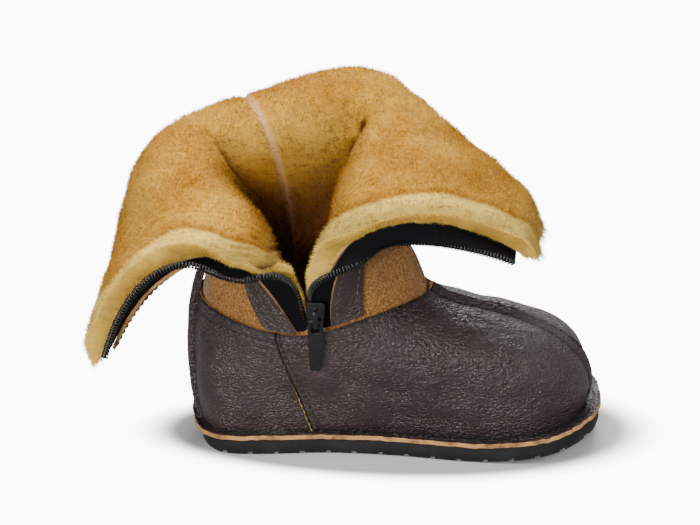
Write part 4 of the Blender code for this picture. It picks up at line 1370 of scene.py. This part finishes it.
def make_pile_end(low, high, around, looks):
    """The pile at the shaft's free end."""
    grid, share = pile_band(low, high, 11)
    gold = np.clip(0.3 + 0.5 * wobble(grid, 0.006, 63), 0, 1)
    colour = blend_colour(all_over(CREAM, grid), GOLD, gold)
    uv = bake_spots(around * 0.9 + 0.05, 0.94 + share * 0.05)
    piece = grid_mesh("pile_end", grid, looks[0], turned=True, uv=uv, shade=colour)
    out, shown = leaning(-normals_of(grid), low, high, 0.7), np.ones(grid.shape[:2])
    hairs("end_hair", grid, out, colour, uv, shown, END_HAIR, looks[1], 72, END_HAIRS, 1)


def hairs(name, grid, out, shade, uv, shown, length, look, seed, count, pieces):
    """Short soft blades standing on a grid of points, in a few pieces."""
    rng = np.random.default_rng(seed)
    across = grid[1:, :-1] - grid[:-1, :-1]
    rising = grid[:-1, 1:] - grid[:-1, :-1]
    area = np.linalg.norm(np.cross(across, rising), axis=-1) * shown[:-1, :-1]
    share = (area / area.sum()).ravel()
    cell = np.sort(rng.choice(len(share), size=count, p=share))
    i, j = np.unravel_index(cell, area.shape)
    u, v = rng.random((2, count, 1))

    def read(field):
        low = field[i, j] * (1 - u) + field[i + 1, j] * u
        high = field[i, j + 1] * (1 - u) + field[i + 1, j + 1] * u
        return low * (1 - v) + high * v

    root, up = read(grid), unit(read(out))
    side = unit(np.cross(up, rng.normal(size=(count, 3))))
    clump = np.stack([wobble(root, 0.0024, seed + k) for k in (1, 2, 3)], -1)
    flow = np.stack([wobble(root, 0.012, seed + k) for k in (4, 5, 6)], -1)
    lean = clump * 0.06 + flow * 0.18 + rng.normal(size=(count, 3)) * 0.16
    size = length * rng.uniform(0.55, 1.4, (count, 1)) * (1 + 0.12 * wobble(root, 0.006, seed + 7)[:, None])
    wide = 0.00009 * rng.uniform(0.7, 1.3, (count, 1))
    start = root - up * 0.0005
    bend = start + unit(up + lean * 0.5) * size * 0.55
    tip = bend + unit(up + lean * 1.7) * size * 0.55
    wide = side * wide
    points = [start - wide, start + wide, bend + wide * 0.8, bend - wide * 0.8, tip]
    points = np.stack(points, 1)
    colour = read(shade) * rng.uniform(0.90, 1.08, (count, 1))
    tints = np.minimum(colour[:, None] * np.array([0.86, 0.86, 1, 1, 1.10])[:, None], 1)
    offsets = np.array([(0, 0), (4e-4, 0), (4e-4, 4e-4), (0, 4e-4), (2e-4, 8e-4)])
    spots = read(uv)[:, None] + offsets
    order = rng.permutation(count)
    for k, chosen in enumerate(np.array_split(order, pieces)):
        base = np.arange(len(chosen))[:, None] * 5
        quad, end = base + np.array([[0, 1, 2, 3]]), base + np.array([[3, 2, 4]])
        title = f"{name}_{k + 1}" if pieces > 1 else name
        faces, given = [quad, end], {"uv": spots[chosen], "shade": tints[chosen]}
        add_mesh(title, points[chosen], faces, [look], **given)


# The zip and its facings

def make_plackets(leather, raw, thread):
    start = (COLLAR_LIFT + SEAT_GAP) / SHAFT_LENGTH
    run = np.linspace(start, 0.985, 150)
    for side in ("back", "front"):
        widths = PLACKET_SETBACK + np.linspace(0, 1, 14) * (PLACKET_WIDTH - PLACKET_SETBACK)
        points, normals = strip_along_edge(side, run, widths)
        below = 2 * SEAT_GAP + TAPE
        rough = 0.00012 * wobble(points, 0.007, 81)[..., None]
        top, bottom = points - normals * below, points - normals * (below + STRIP + rough)
        way = -1 if side == "back" else 1
        piece = thick_sheet(f"leather_placket_{side}", bottom[:, ::way], top[:, ::way], [leather, raw])
        stand_for(f"placket_{side}")
        for name, at in (("near", PLACKET_SETBACK + 0.0022), ("far", PLACKET_WIDTH - 0.0020)):
            path, up = strip_along_edge(side, run, np.array([at, at + 1e-4]))
            path, up = path[:, 0] - up[:, 0] * (below + STRIP + 0.00012), -up[:, 0]
            stitch_row(f"placket_stitches_{side}_{name}", path, up, thread, f"placket_{side}")


def make_tapes(tape):
    run = np.linspace(0.012, 0.985, 160)
    for side in ("back", "front"):
        rows = []
        beyond = SEAT_GAP + COIL * (0.15 if side == "back" else 0.75)
        for below in (SEAT_GAP, SEAT_GAP + TAPE):
            points, normals = strip_along_edge(side, run, np.array([1.0, 0.5]) * TAPE_LAP)
            shown = tape_shown(run) + beyond
            cross = [tape_point(side, run, shown * share, below) for share in (0.0, 0.34, 0.67, 1.0)]
            rows.append(np.concatenate([points - normals * below, np.stack(cross, 1)], 1))
        front, back = rows if side == "back" else rows[::-1]
        piece = thick_sheet(f"zip_cloth_{side}", front, back, [tape, tape])
        stand_for(f"zip_tape_{side}")


def make_teeth(plastic):
    """Coil teeth: bent loops of nylon that stand side by side along each tape's edge."""
    bend = np.linspace(-1.15, 1.15, 9)
    ring = 2 * math.pi * np.arange(6) / 6
    path = np.stack([np.cos(bend) * 0.62 - 0.25, np.zeros(9), np.sin(bend) * 0.52], -1)
    path[:, 0] = np.where(np.abs(bend) > 0.9, path[:, 0] - 0.12, path[:, 0])
    heading = unit(np.gradient(path, axis=0))
    side = np.array([0.0, 1.0, 0.0])
    third = np.cross(heading, side)
    wire = np.cos(ring)[None, :, None] * side * 1.6 + np.sin(ring)[None, :, None] * third[:, None]
    template = (path[:, None] + 0.17 * wire).reshape(-1, 3)
    faces = [grid_faces(9, 6, wrap_columns=True), np.array([np.arange(6)[::-1], 48 + np.arange(6)])]
    for name in ("back", "front"):
        run = np.linspace(0.014, 0.982, 400)
        centre, out = coil_line(name, run)
        origin, along, outwards = along_path(centre, out, TOOTH_PITCH)
        up = unit(np.cross(outwards, along))
        points, shaped = copies(template, faces, origin, outwards * COIL, along * TOOTH_WIDTH, up * COIL)
        piece = add_mesh(f"zip_teeth_{name}", points, shaped, [plastic])
        stand_for(f"zip_coil_{name}")


def softened(node, name, body, finish):
    """A rigid piece with the CAD's own shape and rounded edges."""
    mesh = NODES[node].data.copy()
    mesh.name = name
    piece = bpy.data.objects.new(name, mesh)
    bpy.context.scene.collection.objects.link(piece)
    mesh.materials.clear()
    mesh.materials.append(finish)
    weld = piece.modifiers.new("weld", "WELD")
    weld.merge_threshold = 0.00001
    bevel = piece.modifiers.new("bevel", "BEVEL")
    bevel.width, bevel.segments = 0.00022, 3
    bevel.limit_method, bevel.angle_limit = "ANGLE", math.radians(30)
    bpy.context.view_layer.update()
    shaped = bpy.data.meshes.new_from_object(piece.evaluated_get(bpy.context.evaluated_depsgraph_get()))
    piece.modifiers.clear()
    piece.data = shaped
    shaped.polygons.foreach_set("use_smooth", np.full(len(shaped.polygons), True))
    sharpen(piece, 40)
    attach(piece, body)
    stand_for(node)


# Floor, light and camera

def add_stage():
    """A white floor that glows like a lit sweep, apart from a soft painted shadow close round the sole."""
    bpy.ops.mesh.primitive_plane_add(size=6, location=(0, 0, -0.0001))
    floor = bpy.context.object
    floor.name = "floor"
    finish = Finish("floor", Base_Color=(0.55, 0.55, 0.55), Roughness=0.95, Specular_IOR_Level=0.0)
    # The painted shadow's rim is an oval round the sole, 86 mm each way along it and wider towards the toe.
    x, y = finish.axes()
    ahead = (x - 0.049) / 0.086
    aside = (y + 0.001) / (0.034 + x * 0.055)
    clear = (ahead * ahead + aside * aside).step(0.88, 1.42)
    finish.give(Emission_Color=finish.mix((0.0, 0.0, 0.0), (1.0, 1.0, 1.0), clear))
    finish.give(Emission_Strength=10.0)
    floor.data.materials.append(finish.material)
    floor.visible_diffuse = floor.visible_glossy = False
    world = bpy.data.worlds.new("room")
    world.use_nodes = True
    world.node_tree.nodes["Background"].inputs[0].default_value = (1.0, 1.0, 1.0, 1.0)
    world.node_tree.nodes["Background"].inputs[1].default_value = 0.50
    bpy.context.scene.world = world
    for name, place, size, power in (
        ("key", (-0.50, -0.35, 0.95), 0.35, 9.0),
        ("front", (-0.25, -1.00, 0.34), 0.30, 9.0),
        ("side", (0.80, -0.35, 0.60), 0.25, 3.0),
        ("top", (0.15, 0.20, 1.10), 0.40, 8.0),
        ("back", (0.10, 1.00, 0.45), 0.40, 5.0),
    ):
        lamp = bpy.data.lights.new(name, "AREA")
        lamp.energy, lamp.size = power, size
        holder = bpy.data.objects.new(name, lamp)
        bpy.context.scene.collection.objects.link(holder)
        holder.location = place
        holder.rotation_euler = (Vector(place) - Vector((0.03, 0, 0.05))).to_track_quat("Z", "Y").to_euler()


def add_camera():
    camera = bpy.data.objects.new("camera", bpy.data.cameras.new("camera"))
    bpy.context.scene.collection.objects.link(camera)
    away = Vector((0, -math.cos(CAMERA_HEIGHT_ANGLE), math.sin(CAMERA_HEIGHT_ANGLE)))
    camera.location = CAMERA_TARGET + CAMERA_DISTANCE * away
    camera.rotation_euler = away.to_track_quat("Z", "Y").to_euler()
    camera.data.lens = CAMERA_LENS
    camera.data.clip_start = 0.01
    bpy.context.scene.camera = camera


def give_cad(node, finish):
    mesh = NODES[node].data
    mesh.materials.clear()
    mesh.materials.append(finish)


def dress():
    leather, raw, suede = leather_finish(), raw_edge_finish(), suede_finish()
    fleece, hair = fleece_finish("sheepskin_pile", False), fleece_finish("sheepskin_hair", True)
    rubber, tape = rubber_finish(), tape_finish()
    glossy = plastic_finish("black_slider", (0.0035, 0.0035, 0.004), 0.20)
    nylon = plastic_finish("black_coil", (0.003, 0.003, 0.0035), 0.14)
    thread = thread_finish("brown_thread", (0.055, 0.038, 0.032))
    make_upper(leather, raw, suede)
    make_foot_stitches(thread)
    make_side_seams(raw)
    make_backstay(leather, raw, thread)
    make_outsole(rubber)
    make_shaft(suede, (fleece, hair))
    make_plackets(leather, raw, thread)
    make_tapes(tape)
    make_teeth(nylon)
    softened("zip_slider", "slider", "boot", glossy)
    softened("zip_pull", "pull_tab", "pull", glossy)
    give_cad("insole", suede)


add_camera()
add_stage()
dress()
